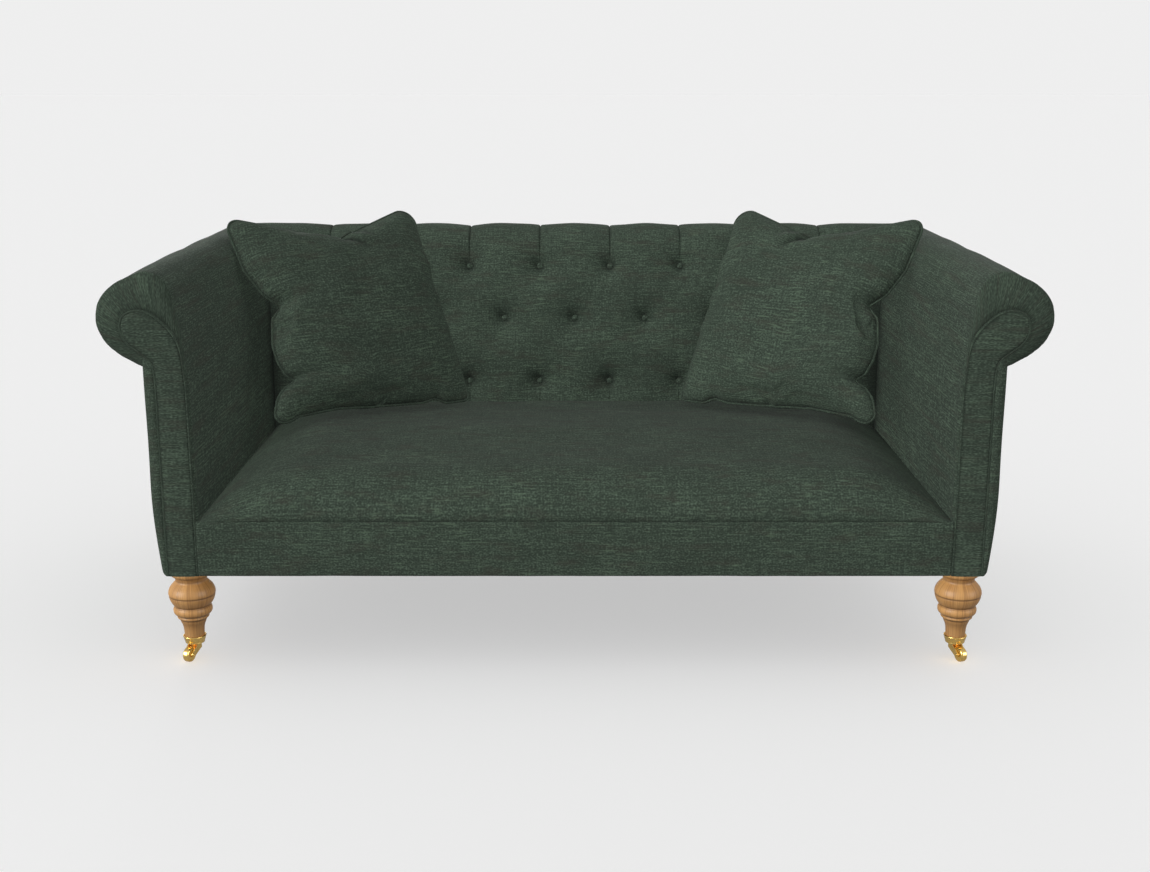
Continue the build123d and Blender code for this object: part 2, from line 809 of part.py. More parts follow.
# Front legs: turned collar, bulb, bead and neck, ending in the castor cup
front_leg_plane = Plane((leg_x, front_leg_y, 0), x_dir=(1, 0, 0), z_dir=(0, -1, 0))
front_leg_axis = Axis((leg_x, front_leg_y, 0), (0, 0, 1))
cup_lip_z = cup_bottom + cup_height
cup_floor_z = cup_bottom + cup_wall
cup_foot_radius = cup_radius * cup_taper
tip_z = cup_floor_z + running_gap
tip_radius = cup_radius - cup_wall - running_gap
tip_foot_radius = cup_foot_radius - cup_wall - running_gap
pivot_top_z = cup_lip_z + fork_height
with BuildPart() as front_right_leg:
    with BuildSketch(front_leg_plane):
        with BuildLine():
            Polyline((0, frame_z), (collar_radius, frame_z), (collar_radius, collar_foot_z))
            Line((collar_radius, collar_foot_z), (cove_radius, cove_z))
            ThreePointArc((cove_radius, cove_z), (bulb_radius, bulb_z), (cove_radius, bulb_foot_z))
            ThreePointArc((cove_radius, bulb_foot_z), (bead_radius, bead_z), (cove_radius, bead_foot_z))
            Line((cove_radius, bead_foot_z), (fillet_radius, fillet_z))
            ThreePointArc((fillet_radius, fillet_z), (neck_radius, neck_z), (tip_radius, cup_lip_z))
            Polyline((tip_radius, cup_lip_z), (tip_foot_radius, tip_z), (0, tip_z), (0, frame_z))
        make_face()
    revolve(axis=front_leg_axis)
    with BuildSketch(Plane.XY.offset(frame_z - bolt_in_leg - running_gap)):
        with Locations((leg_x, front_leg_y)):
            Circle(bolt_radius + running_gap)
    extrude(amount=bolt_in_leg + 2 * running_gap, mode=Mode.SUBTRACT)
    with BuildSketch(Plane.XY.offset(cup_bottom)):
        with Locations((leg_x, front_leg_y)):
            Circle(pivot_radius + running_gap)
    extrude(amount=pivot_top_z - cup_bottom + running_gap, mode=Mode.SUBTRACT)
save(front_right_leg, "front_right_leg")

with BuildPart() as front_left_leg:
    mirror(front_right_leg.part, about=Plane.YZ)
save(front_left_leg, "front_left_leg")

# Back legs: square, tapered and raked, on glides
with BuildPart() as back_right_leg:
    with BuildSketch(Plane.XY.offset(glide_height)):
        with Locations((leg_x, back_leg_y + back_leg_rake)):
            Rectangle(back_leg_foot, back_leg_foot)
    with BuildSketch(Plane.XY.offset(frame_z)):
        with Locations((leg_x, back_leg_y)):
            Rectangle(back_leg_top, back_leg_top)
    loft(ruled=True)
    with BuildSketch(Plane.XY.offset(frame_z - bolt_in_leg - running_gap)):
        with Locations((leg_x, back_leg_y)):
            Circle(bolt_radius + running_gap)
    extrude(amount=bolt_in_leg + 2 * running_gap, mode=Mode.SUBTRACT)
save(back_right_leg, "back_right_leg")

with BuildPart() as back_left_leg:
    mirror(back_right_leg.part, about=Plane.YZ)
save(back_left_leg, "back_left_leg")

with BuildPart() as back_right_glide:
    with BuildSketch():
        with Locations((leg_x, back_leg_y + back_leg_rake)):
            Circle(glide_radius)
    extrude(amount=glide_height)
    fillet(back_right_glide.edges().group_by(Axis.Z)[0], radius=glide_height / 4)
save(back_right_glide, "back_right_glide")

with BuildPart() as back_left_glide:
    mirror(back_right_glide.part, about=Plane.YZ)
save(back_left_glide, "back_left_glide")

with BuildPart() as leg_bolts:
    with BuildSketch(Plane.XY.offset(frame_z - bolt_in_leg)):
        with Locations(*leg_points):
            Circle(bolt_radius)
    extrude(amount=bolt_length)
save(leg_bolts, "leg_bolts")


# Castors: cup on the leg, pivot through its floor, fork that trails, axle and wheel
yaw = radians(castor_yaw)
trail_dir = Vector(sin(yaw), -cos(yaw), 0)
axle_dir = Vector(cos(yaw), sin(yaw), 0)
pivot_point = Vector(leg_x, front_leg_y, 0)
wheel_center = pivot_point + trail_dir * wheel_trail + Vector(0, 0, wheel_radius)
fork_plane = Plane(pivot_point, x_dir=trail_dir, z_dir=-axle_dir)
wheel_plane = Plane(wheel_center, x_dir=trail_dir, z_dir=-axle_dir)
fork_top_z = cup_bottom - soft_gap
fork_foot_z = fork_top_z - fork_height
cheek_inner = wheel_width / 2 + cheek_gap
cheek_outer = cheek_inner + cheek_thickness
fork_neck = pivot_head_radius + 2 * soft_gap
pivot_foot_z = fork_foot_z - running_gap - pivot_head_height
eye_radius = 2 * axle_radius

with BuildPart() as right_castor_cup:
    with BuildSketch(front_leg_plane):
        with BuildLine():
            Polyline(
                (0, cup_bottom),
                (cup_foot_radius, cup_bottom),
                (cup_radius, cup_lip_z),
                (cup_radius - cup_wall, cup_lip_z),
                (cup_foot_radius - cup_wall, cup_floor_z),
                (0, cup_floor_z),
                close=True,
            )
        make_face()
    revolve(axis=front_leg_axis)
    with BuildSketch(Plane.XY.offset(cup_bottom)):
        with Locations((leg_x, front_leg_y)):
            Circle(pivot_radius + running_gap)
    extrude(amount=cup_height, mode=Mode.SUBTRACT)
save(right_castor_cup, "right_castor_cup")

with BuildPart() as left_castor_cup:
    mirror(right_castor_cup.part, about=Plane.YZ)
save(left_castor_cup, "left_castor_cup")

with BuildPart() as right_castor_pivot:
    with BuildSketch(Plane.XY.offset(pivot_foot_z)):
        with Locations((leg_x, front_leg_y)):
            Circle(pivot_radius)
    extrude(amount=pivot_top_z - pivot_foot_z)
    with BuildSketch(Plane.XY.offset(pivot_foot_z)):
        with Locations((leg_x, front_leg_y)):
            Circle(pivot_head_radius)
    extrude(amount=pivot_head_height)
save(right_castor_pivot, "right_castor_pivot")

with BuildPart() as left_castor_pivot:
    mirror(right_castor_pivot.part, about=Plane.YZ)
save(left_castor_pivot, "left_castor_pivot")

with BuildPart() as right_castor_fork:
    with BuildSketch(fork_plane):
        with Locations((0, (fork_foot_z + fork_top_z) / 2)):
            Rectangle(2 * fork_neck, fork_height)
        with Locations((wheel_trail, wheel_radius)):
            Circle(eye_radius)
        make_hull()
    extrude(amount=cheek_outer, both=True)
    with BuildSketch(fork_plane):
        with Locations((fork_neck, 0)):
            Rectangle(overall_depth, roll_height, align=(Align.MIN, Align.CENTER))
    extrude(amount=cheek_inner, both=True, mode=Mode.SUBTRACT)
    with BuildSketch(wheel_plane):
        Circle(axle_radius + running_gap)
    extrude(amount=cheek_outer, both=True, mode=Mode.SUBTRACT)
    with BuildSketch(Plane.XY.offset(fork_foot_z)):
        with Locations((leg_x, front_leg_y)):
            Circle(pivot_radius + running_gap)
    extrude(amount=fork_height, mode=Mode.SUBTRACT)
    with BuildSketch(Plane.XY):
        with Locations((leg_x, front_leg_y)):
            Circle(pivot_head_radius + soft_gap)
    extrude(amount=fork_foot_z, mode=Mode.SUBTRACT)
save(right_castor_fork, "right_castor_fork")

with BuildPart() as left_castor_fork:
    mirror(right_castor_fork.part, about=Plane.YZ)
save(left_castor_fork, "left_castor_fork")

with BuildPart() as right_castor_wheel:
    with BuildSketch(wheel_plane):
        Circle(wheel_radius)
    extrude(amount=wheel_width / 2, both=True)
    fillet(right_castor_wheel.edges(), radius=wheel_width / 4)
    with BuildSketch(wheel_plane):
        Circle(axle_radius + running_gap)
    extrude(amount=wheel_width, both=True, mode=Mode.SUBTRACT)
save(right_castor_wheel, "right_castor_wheel")

with BuildPart() as left_castor_wheel:
    mirror(right_castor_wheel.part, about=Plane.YZ)
save(left_castor_wheel, "left_castor_wheel")

with BuildPart() as right_castor_axle:
    with BuildSketch(wheel_plane):
        Circle(axle_radius)
    extrude(amount=cheek_outer + axle_radius / 2, both=True)
    fillet(right_castor_axle.edges(), radius=axle_radius / 3)
save(right_castor_axle, "right_castor_axle")

with BuildPart() as left_castor_axle:
    mirror(right_castor_axle.part, about=Plane.YZ)
save(left_castor_axle, "left_castor_axle")
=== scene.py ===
import math

import bpy
import numpy as np
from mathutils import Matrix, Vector


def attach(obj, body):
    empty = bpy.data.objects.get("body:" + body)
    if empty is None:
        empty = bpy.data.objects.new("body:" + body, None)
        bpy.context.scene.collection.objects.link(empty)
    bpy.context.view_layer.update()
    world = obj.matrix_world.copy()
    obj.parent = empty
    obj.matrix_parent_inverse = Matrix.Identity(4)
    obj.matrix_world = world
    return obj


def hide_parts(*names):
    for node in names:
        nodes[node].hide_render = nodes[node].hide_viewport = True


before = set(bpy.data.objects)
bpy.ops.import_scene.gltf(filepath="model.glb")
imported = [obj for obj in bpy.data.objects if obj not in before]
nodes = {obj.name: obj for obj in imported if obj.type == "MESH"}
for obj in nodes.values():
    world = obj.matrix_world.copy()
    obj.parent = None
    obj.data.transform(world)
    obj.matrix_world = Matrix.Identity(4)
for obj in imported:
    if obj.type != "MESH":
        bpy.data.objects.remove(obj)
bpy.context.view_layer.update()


# Timber frame: sawn beech rails, posts and scroll boards, glued and screwed into one carcass.
# All of it is closed in by the upholstery, so only the wood's own colour and grain are drawn.
class Strand:
    """One socket of a finish; sums on it add Math nodes."""

    def __init__(self, finish, socket):
        self.finish = finish
        self.socket = socket

    def sum(self, operation, first, second):
        return self.finish.node("ShaderNodeMath", {"operation": operation}, {0: first, 1: second})

    def __add__(self, other):
        return self.sum("ADD", self, other)

    def __radd__(self, other):
        return self.sum("ADD", other, self)

    def __sub__(self, other):
        return self.sum("SUBTRACT", self, other)

    def __rsub__(self, other):
        return self.sum("SUBTRACT", other, self)

    def __mul__(self, other):
        return self.sum("MULTIPLY", self, other)

    def __rmul__(self, other):
        return self.sum("MULTIPLY", other, self)

    def rise(self, low, high):
        """0 below low, 1 above high, smooth between."""
        return self.finish.node(
            "ShaderNodeMapRange",
            {"interpolation_type": "SMOOTHSTEP"},
            {"Value": self, "From Min": low, "From Max": high},
        )


class Finish:
    """A material, or the studio's air, and its one shader."""

    def __init__(self, name, kind="materials", shader="Principled BSDF"):
        self.material = getattr(bpy.data, kind).new(name)
        self.material.use_nodes = True
        self.tree = self.material.node_tree
        self.shader = self.tree.nodes[shader]

    def put(self, socket, value):
        if isinstance(value, Strand):
            self.tree.links.new(value.socket, socket)
        else:
            socket.default_value = value

    def node(self, kind, settings=None, sockets=None, out=0):
        made = self.tree.nodes.new(kind)
        for name, value in (settings or {}).items():
            setattr(made, name, value)
        for key, value in (sockets or {}).items():
            self.put(made.inputs[key], value)
        return Strand(self, made.outputs[out])

    def grain(self, place, stretch, detail=2.0, rough=0.5):
        """Noise drawn out along the cloth or the wood: stretch is in streaks per metre."""
        laid = self.node("ShaderNodeVectorMath", {"operation": "MULTIPLY"}, {0: place, 1: stretch})
        return self.node(
            "ShaderNodeTexNoise", {}, {"Vector": laid, "Scale": 1.0, "Detail": detail, "Roughness": rough}
        )

    def dye(self, share, one, other):
        """Colour one where share is 0, other where it is 1."""
        return self.node("ShaderNodeMix", {"data_type": "RGBA"}, {0: share, 6: one, 7: other}, 2)

    def raise_up(self, height, distance, strength=1.0):
        bump = self.node(
            "ShaderNodeBump", {}, {"Height": height, "Distance": distance, "Strength": strength}
        )
        self.put(self.shader.inputs["Normal"], bump)

    def fill(self, **values):
        for key, value in values.items():
            self.put(self.shader.inputs[key.replace("_", " ")], value)


def tint(red, green, blue):
    """A colour as it is seen, 0 to 255, in Blender's linear values."""
    seen = [c / 255 for c in (red, green, blue)]
    return [c / 12.92 if c < 0.04045 else ((c + 0.055) / 1.055) ** 2.4 for c in seen] + [1.0]


def dress(finish, *names):
    """Give carried-over nodes a finish."""
    for name in names:
        mesh = nodes[name].data
        mesh.materials.clear()
        mesh.materials.append(finish.material)


beech = Finish("sawn_beech")
place = beech.node("ShaderNodeTexCoord", {}, {}, 3)
rings = beech.grain(place, (9, 60, 60), 4, 0.6)
pores = beech.grain(place, (30, 500, 500), 2)
beech.fill(
    Base_Color=beech.dye(rings.rise(0.3, 0.7), tint(206, 172, 128), tint(178, 140, 96)),
    Roughness=0.62 + pores * 0.2,
)
beech.raise_up(pores, 0.0004)
dress(beech, "front_seat_rail", "back_seat_rail", "seat_cross_rail", "leg_blocks", "arm_stumps")
dress(beech, "back_uprights", "back_lower_rail", "back_top_rail")
for side in ("left_", "right_"):
    for timber in ("side_rail", "arm_front_board", "arm_top_rail", "arm_tack_rail", "back_post"):
        dress(beech, side + timber)


# Supports under the padding: jute webbing, its straps woven over and under, stretched across seat and back
# and tacked to the rails, and linings of plain grey board tacked inside the arms.
jute = Finish("jute_webbing")
place = jute.node("ShaderNodeTexCoord", {}, {}, 3)
warp = jute.grain(place, (700, 700, 40), 2)
jute.fill(
    Base_Color=jute.dye(warp.rise(0.35, 0.65), tint(96, 82, 60), tint(140, 122, 92)),
    Roughness=0.75 + warp * 0.2,
)
jute.raise_up(warp, 0.0006)
dress(jute, "seat_webbing", "back_webbing")

board = Finish("grey_board")
place = board.node("ShaderNodeTexCoord", {}, {}, 3)
pulp = board.grain(place, (160, 160, 160), 4, 0.7)
board.fill(
    Base_Color=board.dye(pulp, tint(140, 128, 108), tint(168, 156, 134)),
    Roughness=0.8 + pulp * 0.15,
)
dress(board, "left_arm_liner", "right_arm_liner")


# Leg bolts: zinc-plated steel screws, one set into the top of each leg
# and driven up into the block in that corner of the frame.
zinc = Finish("zinc_plated_steel")
place = zinc.node("ShaderNodeTexCoord", {}, {}, 3)
spangle = zinc.grain(place, (220, 220, 220), 3)
zinc.fill(
    Base_Color=zinc.dye(spangle, tint(150, 152, 156), tint(190, 190, 188)),
    Metallic=1.0,
    Roughness=0.3 + spangle * 0.2,
)
dress(zinc, "leg_bolts")


# Front legs: oak turned with a collar, a bulb cut by a fine line, a bead, a ring and a hollow neck.
# They are lacquered clear, screwed up into the frame's blocks, and end in the castors' cups.
def lacquered(name, kind, settings, out):
    """Oak under clear lacquer; the node that is named gives the place that its grain runs along."""
    made = Finish(name)
    place = made.node(kind, settings, {}, out)
    figure = made.grain(place, (26, 26, 5), 5, 0.62)
    streak = made.grain(place, (430, 430, 9), 2, 0.6)
    pores = made.grain(place, (900, 900, 60), 1)
    honey = made.dye(figure.rise(0.32, 0.68), tint(203, 154, 94), tint(184, 134, 76))
    honey = made.dye(streak.rise(0.44, 0.68) * 0.55, honey, tint(132, 90, 50))
    # Darker brown where the mesh's attribute says: painted shade on undersides, neck and grooves, and in the
    # grooves also glaze settled there.
    glaze_and_painted_shade = made.node("ShaderNodeAttribute", {"attribute_name": "crease_and_painted_shade"}, {}, "Fac")
    made.fill(
        Base_Color=made.dye(glaze_and_painted_shade, honey, tint(70, 46, 24)),
        Roughness=0.48 + pores.rise(0.5, 0.8) * 0.25,
        Coat_Weight=0.08,
        Coat_Roughness=0.3,
    )
    made.raise_up(streak * 0.6 + pores * 0.4, 0.00035)
    return made


oak = lacquered("turned_oak", "ShaderNodeAttribute", {"attribute_name": "lathe"}, "Vector")


def skin(name, points, faces, finish, cloth=None, crease_and_painted_shade=None):
    """A smooth mesh in one finish; cloth is each point's place on the bolt, and the last argument how much
    shade is painted into its colour at each point.
    """
    mesh = bpy.data.meshes.new(name)
    mesh.from_pydata([tuple(p) for p in points], [], faces)
    mesh.polygons.foreach_set("use_smooth", np.ones(len(mesh.polygons), bool))
    if cloth is not None:
        layer = mesh.uv_layers.new(name="cloth")
        corners = np.empty(len(mesh.loops), np.int32)
        mesh.loops.foreach_get("vertex_index", corners)
        layer.data.foreach_set("uv", np.asarray(cloth, np.float32)[corners].ravel())
    if crease_and_painted_shade is not None:
        painted_shade = mesh.attributes.new("crease_and_painted_shade", "FLOAT", "POINT")
        painted_shade.data.foreach_set("value", np.asarray(crease_and_painted_shade, np.float32).ravel())
    mesh.materials.append(finish.material)
    mesh.update()
    piece = bpy.data.objects.new(name, mesh)
    bpy.context.scene.collection.objects.link(piece)
    return piece


def net_faces(rows, columns, wrap=False, flip=False):
    """Quads of a net of points, joined round when it wraps."""
    faces = []
    for r in range(rows - 1):
        for c in range(columns if wrap else columns - 1):
            d = (c + 1) % columns
            quad = (r * columns + c, r * columns + d, (r + 1) * columns + d, (r + 1) * columns + c)
            faces.append(quad[::-1] if flip else quad)
    return faces


def run_along(net, axis):
    """How far each point of a net lies along its rows or columns."""
    steps = np.linalg.norm(np.diff(net, axis=axis), axis=-1)
    start = np.zeros_like(np.take(steps, [0], axis))
    return np.concatenate([start, np.cumsum(steps, axis)], axis)


def net_of(x, y, z):
    """A net of points from lines or nets of their places."""
    return np.stack(np.broadcast_arrays(x, y, z), -1)


grain_radius = 0.036


def turned(name, profile, x, y, finish, sides=72, crease_and_painted_shade=None):
    """A lathe form: profile is (radius, height) from the top down; the last argument gives one value of
    painted shade for each point of the profile.
    """
    profile = np.array(profile, float)
    radius, height = profile[:, :1], profile[:, 1:]
    angle = np.linspace(0, 2 * np.pi, sides, endpoint=False)
    points = net_of(x + radius * np.cos(angle), y + radius * np.sin(angle), height)
    painted_shade_per_point = None if crease_and_painted_shade is None else np.repeat(crease_and_painted_shade, sides)
    piece = skin(name, points.reshape(-1, 3), net_faces(len(profile), sides, True, True), finish, None, painted_shade_per_point)
    along = net_of(grain_radius * np.cos(angle), grain_radius * np.sin(angle), run_along(points, 0))
    lathe = piece.data.attributes.new("lathe", "FLOAT_VECTOR", "POINT")
    lathe.data.foreach_set("vector", along.astype(np.float32).ravel())
    return piece


def through(points, count):
    """A smooth line through points, evenly spaced."""
    p = np.array(points, float)
    p = np.vstack([2 * p[0] - p[1], p, 2 * p[-1] - p[-2]])
    t = np.linspace(0, 1, 24, endpoint=False)[:, None]
    runs = []
    for a, b, c, d in zip(p, p[1:], p[2:], p[3:]):
        runs.append(b + 0.5 * t * (c - a + t * (2 * a - 5 * b + 4 * c - d + t * (3 * (b - c) + d - a))))
    return even(np.vstack(runs + [p[-2:-1]]), count)


def even(line, count):
    """The same line with points at equal steps along it."""
    line = np.array(line, float)
    run = np.concatenate([[0], np.cumsum(np.linalg.norm(np.diff(line, axis=0), axis=1))])
    at = np.linspace(0, run[-1], count)
    return np.stack([np.interp(at, run, axis) for axis in line.T], -1)


hands = (("left", -1), ("right", 1))
leg_x, front_leg_y = 0.721, -0.422
leg_top = [(0.0, 0.1866), (0.0365, 0.1866)]
collar = [(0.0375, 0.1850), (0.0379, 0.1760), (0.0372, 0.1690), (0.0345, 0.1662)]
cove = [(0.0322, 0.1650), (0.0296, 0.1605), (0.0294, 0.1560), (0.0318, 0.1528)]
bulb_over = [(0.0332, 0.1518), (0.0402, 0.1435), (0.0432, 0.1355), (0.0434, 0.1302), (0.0430, 0.1288)]
bulb_under = [(0.0418, 0.1281), (0.0427, 0.1271), (0.0412, 0.1205), (0.0376, 0.1130), (0.0336, 0.1082)]
bead = [(0.0325, 0.1069), (0.0346, 0.1050), (0.0361, 0.0995), (0.0350, 0.0935), (0.0312, 0.0893)]
neck_ring = [(0.0276, 0.0882), (0.0289, 0.0868), (0.0295, 0.0850), (0.0286, 0.0829), (0.0264, 0.0813)]
neck = [(0.0247, 0.0805), (0.0240, 0.0765), (0.0209, 0.0690)]
neck += [(0.0193, 0.0615), (0.0186, 0.0530), (0.0183, 0.0460)]
leg_foot = [(0.0178, 0.0440), (0.0140, 0.0350), (0.0, 0.0350)]
turnings = (collar, 8), (cove, 8), (bulb_over, 16), (bulb_under, 12), (bead, 12), (neck_ring, 10), (neck, 16)
leg_profile = np.vstack([leg_top] + [through(line, count) for line, count in turnings] + [leg_foot])
# Painted shade for the legs: darker on the downward-facing undersides and down the neck, and in the grooves,
# where it also stands for glaze.
underside = np.clip(-np.gradient(leg_profile[:, 0]) / np.hypot(*np.gradient(leg_profile, axis=0).T), 0, 1)
groove_z, groove_width = np.array((0.1580, 0.1281, 0.1072, 0.0883, 0.0805)), 0.0022
grooves = np.exp(-(((leg_profile[:, 1:] - groove_z) / groove_width) ** 2)).max(1)
on_neck = np.clip((0.082 - leg_profile[:, 1]) / 0.01, 0, 1)
leg_shade = 0.55 * underside + 0.5 * grooves + 0.25 * on_neck
for side, way in hands:
    leg = turned(f"{side}_turned_leg", leg_profile, way * leg_x, front_leg_y, oak, 72, leg_shade)
    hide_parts(f"front_{side}_leg")
    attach(leg, "sofa")


# Back legs: square oak, tapered and raked backwards, standing on black nylon glides.
# Sawn and planed, with the edges eased.
plank = lacquered("planed_oak", "ShaderNodeTexCoord", {}, 3)
dress(plank, "back_left_leg", "back_right_leg")
nylon = Finish("black_nylon")
place = nylon.node("ShaderNodeTexCoord", {}, {}, 3)
scuff = nylon.grain(place, (300, 300, 300), 3)
nylon.fill(Base_Color=nylon.dye(scuff, tint(24, 24, 25), tint(44, 44, 46)), Roughness=0.45 + scuff * 0.3)
dress(nylon, "back_left_glide", "back_right_glide")


# Castors: polished brass. A cup with a rolled rim is screwed over the leg's foot, a fork swivels under it
# on a rivet, and the wheel turns between its cheeks on a plain axle.
brass = Finish("polished_brass")
place = brass.node("ShaderNodeTexCoord", {}, {}, 3)
polish = brass.grain(place, (160, 160, 900), 3)
tarnish = brass.grain(place, (70, 70, 70), 4, 0.65)
brass.fill(
    Base_Color=brass.dye(tarnish.rise(0.45, 0.8) * 0.6, tint(236, 200, 120), tint(192, 152, 86)),
    Metallic=1.0,
    Roughness=0.20 + polish * 0.12 + tarnish.rise(0.5, 0.8) * 0.12,
)
brass.raise_up(polish, 0.00005)
cup_profile = np.vstack(
    [
        [(0.0184, 0.0444)],
        through([(0.0192, 0.0462), (0.0206, 0.0468), (0.0216, 0.0457), (0.0213, 0.0440)], 8),
        through([(0.0207, 0.0434), (0.0203, 0.0408), (0.0190, 0.0368), (0.0178, 0.0340)], 8),
        through([(0.0183, 0.0334), (0.0181, 0.0325), (0.0166, 0.0321), (0.0100, 0.0320)], 8),
        [(0.0042, 0.0320)],
    ]
)
for side, way in hands:
    cup = turned(f"{side}_brass_cup", cup_profile, way * leg_x, front_leg_y, brass)
    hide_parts(f"{side}_castor_cup")
    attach(cup, "sofa")
    dress(brass, *[f"{side}_castor_{part}" for part in ("pivot", "fork", "axle", "wheel")])


# Seat: a sprung and padded platform, its cover pulled down beside the arms and sewn to the front band.
# The cloth is a slubbed two-tone linen: dark green, with grey-brown and paler green yarns in the weft.
def woven(name, depth):
    """The linen's finish; depth darkens all of it as painted shade, used for the piping, and each mesh's own
    attribute paints shade into its creases, seams and corners.
    """
    made = Finish(name)
    lay = made.node("ShaderNodeUVMap", {"uv_map": "cloth"})
    fleck = made.grain(lay, (270, 340, 1), 0)
    thread = made.grain(lay, (70, 340, 1), 0)
    streak = made.grain(lay, (12, 320, 1), 1)
    warp = made.grain(lay, (330, 24, 1), 0)
    brown = made.grain(lay, (13, 40, 1), 3, 0.6)
    slub = made.grain(lay, (34, 320, 1), 0)
    cloud = made.grain(lay, (8, 11, 1), 2)
    weave = fleck * 0.44 + thread * 0.20 + streak * 0.24 + warp * 0.12
    tone = weave * 0.92 + cloud * 0.08
    ground = made.dye(tone.rise(0.40, 0.80), tint(47, 56, 48), tint(85, 101, 86))
    ground = made.dye(brown.rise(0.48, 0.72) * 0.45, ground, tint(54, 53, 47))
    ground = made.dye((slub * 0.66 + cloud * 0.34).rise(0.58, 0.72) * 0.4, ground, tint(87, 105, 86))
    # Painted shade: the mesh's attribute, plus depth, darkens the cloth toward near-black where shade would
    # fall in creases, seams, pits and corners.
    painted_shade = made.node("ShaderNodeAttribute", {"attribute_name": "crease_and_painted_shade"}, {}, "Fac")
    ground = made.dye(painted_shade * 0.75 + depth, ground, tint(16, 20, 17))
    made.fill(Base_Color=ground, Roughness=0.88 + weave * 0.1)
    made.shader.inputs["Sheen Weight"].default_value = 0.02
    made.shader.inputs["Sheen Roughness"].default_value = 0.5
    made.shader.inputs["Specular IOR Level"].default_value = 0.10
    made.raise_up(weave, 0.0008, 0.7)
    return made


linen = woven("green_linen", 0.0)
# The piping's linen is a darker copy of the same cloth, painted shade for the dark line of shade along each
# piped seam.
piping_in_painted_shade = woven("green_linen_piping_painted_shade", 0.14)

inside_x, inside_back_y, front_y = 0.689, 0.265, -0.480
seam_z = 0.288


def ripple(a, b, pitch):
    """Soft unevenness of stuffed cloth, about -1 to 1; pitch is the size of its waves in metres."""
    a, b = np.asarray(a) / pitch, np.asarray(b) / pitch
    waves = ((1.0, 0.31, 0.2), (0.62, -0.83, 1.7), (-0.41, 1.13, 3.1), (1.37, 0.72, 4.4), (0.23, 1.61, 5.2))
    return sum(np.sin(2 * np.pi * (p * a + q * b) + s) for p, q, s in waves) / 3


def net_skin(name, net, cloth, finish, flip=False, crease_and_painted_shade=None):
    rows, columns = net.shape[:2]
    faces = net_faces(rows, columns, False, flip)
    return skin(name, net.reshape(-1, 3), faces, finish, cloth.reshape(-1, 2), crease_and_painted_shade)


def outward(net):
    """Unit normals of a net of points."""
    normal = np.cross(np.gradient(net, axis=0), np.gradient(net, axis=1))
    return normal / np.maximum(np.linalg.norm(normal, axis=-1, keepdims=True), 1e-12)


nose_reach, nose_rise, seat_dome, seat_fall = 0.115, 0.079, 0.007, 0.021
side_run, side_reach = 0.2, inside_x + 0.001


def seat_profile(count):
    """Section of the seat from the seam over the front edge to the back."""
    turn = np.linspace(0, np.pi / 2, 28)[:-1]
    nose = np.stack([front_y + nose_reach * (1 - np.cos(turn)), seam_z + nose_rise * np.sin(turn)], -1)
    y = np.linspace(front_y + nose_reach, inside_back_y + 0.004, 60)
    share = (y - y[0]) / (y[-1] - y[0])
    z = seam_z + nose_rise + seat_dome * np.sin(np.pi * np.minimum(share / 0.8, 1))
    z -= seat_fall * np.maximum(share - 0.4, 0) / 0.6
    tuck = [(front_y + 0.003, seam_z - 0.0024), (front_y + 0.0007, seam_z - 0.0012)]
    return even(np.vstack([tuck, nose, np.stack([y, z], -1)]), count)


def seat_edge(x):
    """How full the seat is at a place across it: 0 in the crease at the arm, 1 in the middle."""
    t = np.clip((side_reach - np.abs(x)) / side_run, 0, 1)
    return 1 - (1 - t) ** 2.1


section = seat_profile(130)
crowding = math.pi / 2 * 0.86
across = np.sin(np.linspace(-1, 1, 181) * crowding) / math.sin(crowding) * side_reach
low_z = seam_z - 0.004
seat = net_of(across, section[:, :1], low_z + (section[:, 1:] - low_z) * seat_edge(across))
soft = np.clip((seat[..., 2] - seam_z) / 0.05, 0, 1)
seat[..., 2] += 0.0016 * ripple(seat[..., 0], seat[..., 1], 0.33) * soft
seat_cloth = np.stack([seat[..., 0], np.repeat(0.8 * run_along(seat, 0)[:, 90:91], len(across), 1)], -1)
# Painted shade: a thin darker line along the front seam, and darkening in the crease beside each arm, wider
# toward the back.
at_seam = np.exp(-np.maximum(seat[..., 2] - seam_z, 0) / 0.0022) * (np.abs(seat[..., 1] - front_y) < 0.02)
rear = np.clip((seat[..., 1] + 0.05) / 0.25, 0, 1)
at_arm = (0.7 + 0.5 * rear) * np.exp(-(inside_x - np.abs(seat[..., 0])) / (0.004 + 0.016 * rear))
seat_pad = net_skin("seat_pad", seat, seat_cloth, linen, False, np.maximum(0.12 * at_seam, at_arm))


def upholster(piece, body, fill, *hidden):
    """Linen over padding, in place of the plain solids that it hides."""
    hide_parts(*hidden)
    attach(piece, body)


upholster(seat_pad, "sofa", 0.8, "seat_cover", "seat_foam")


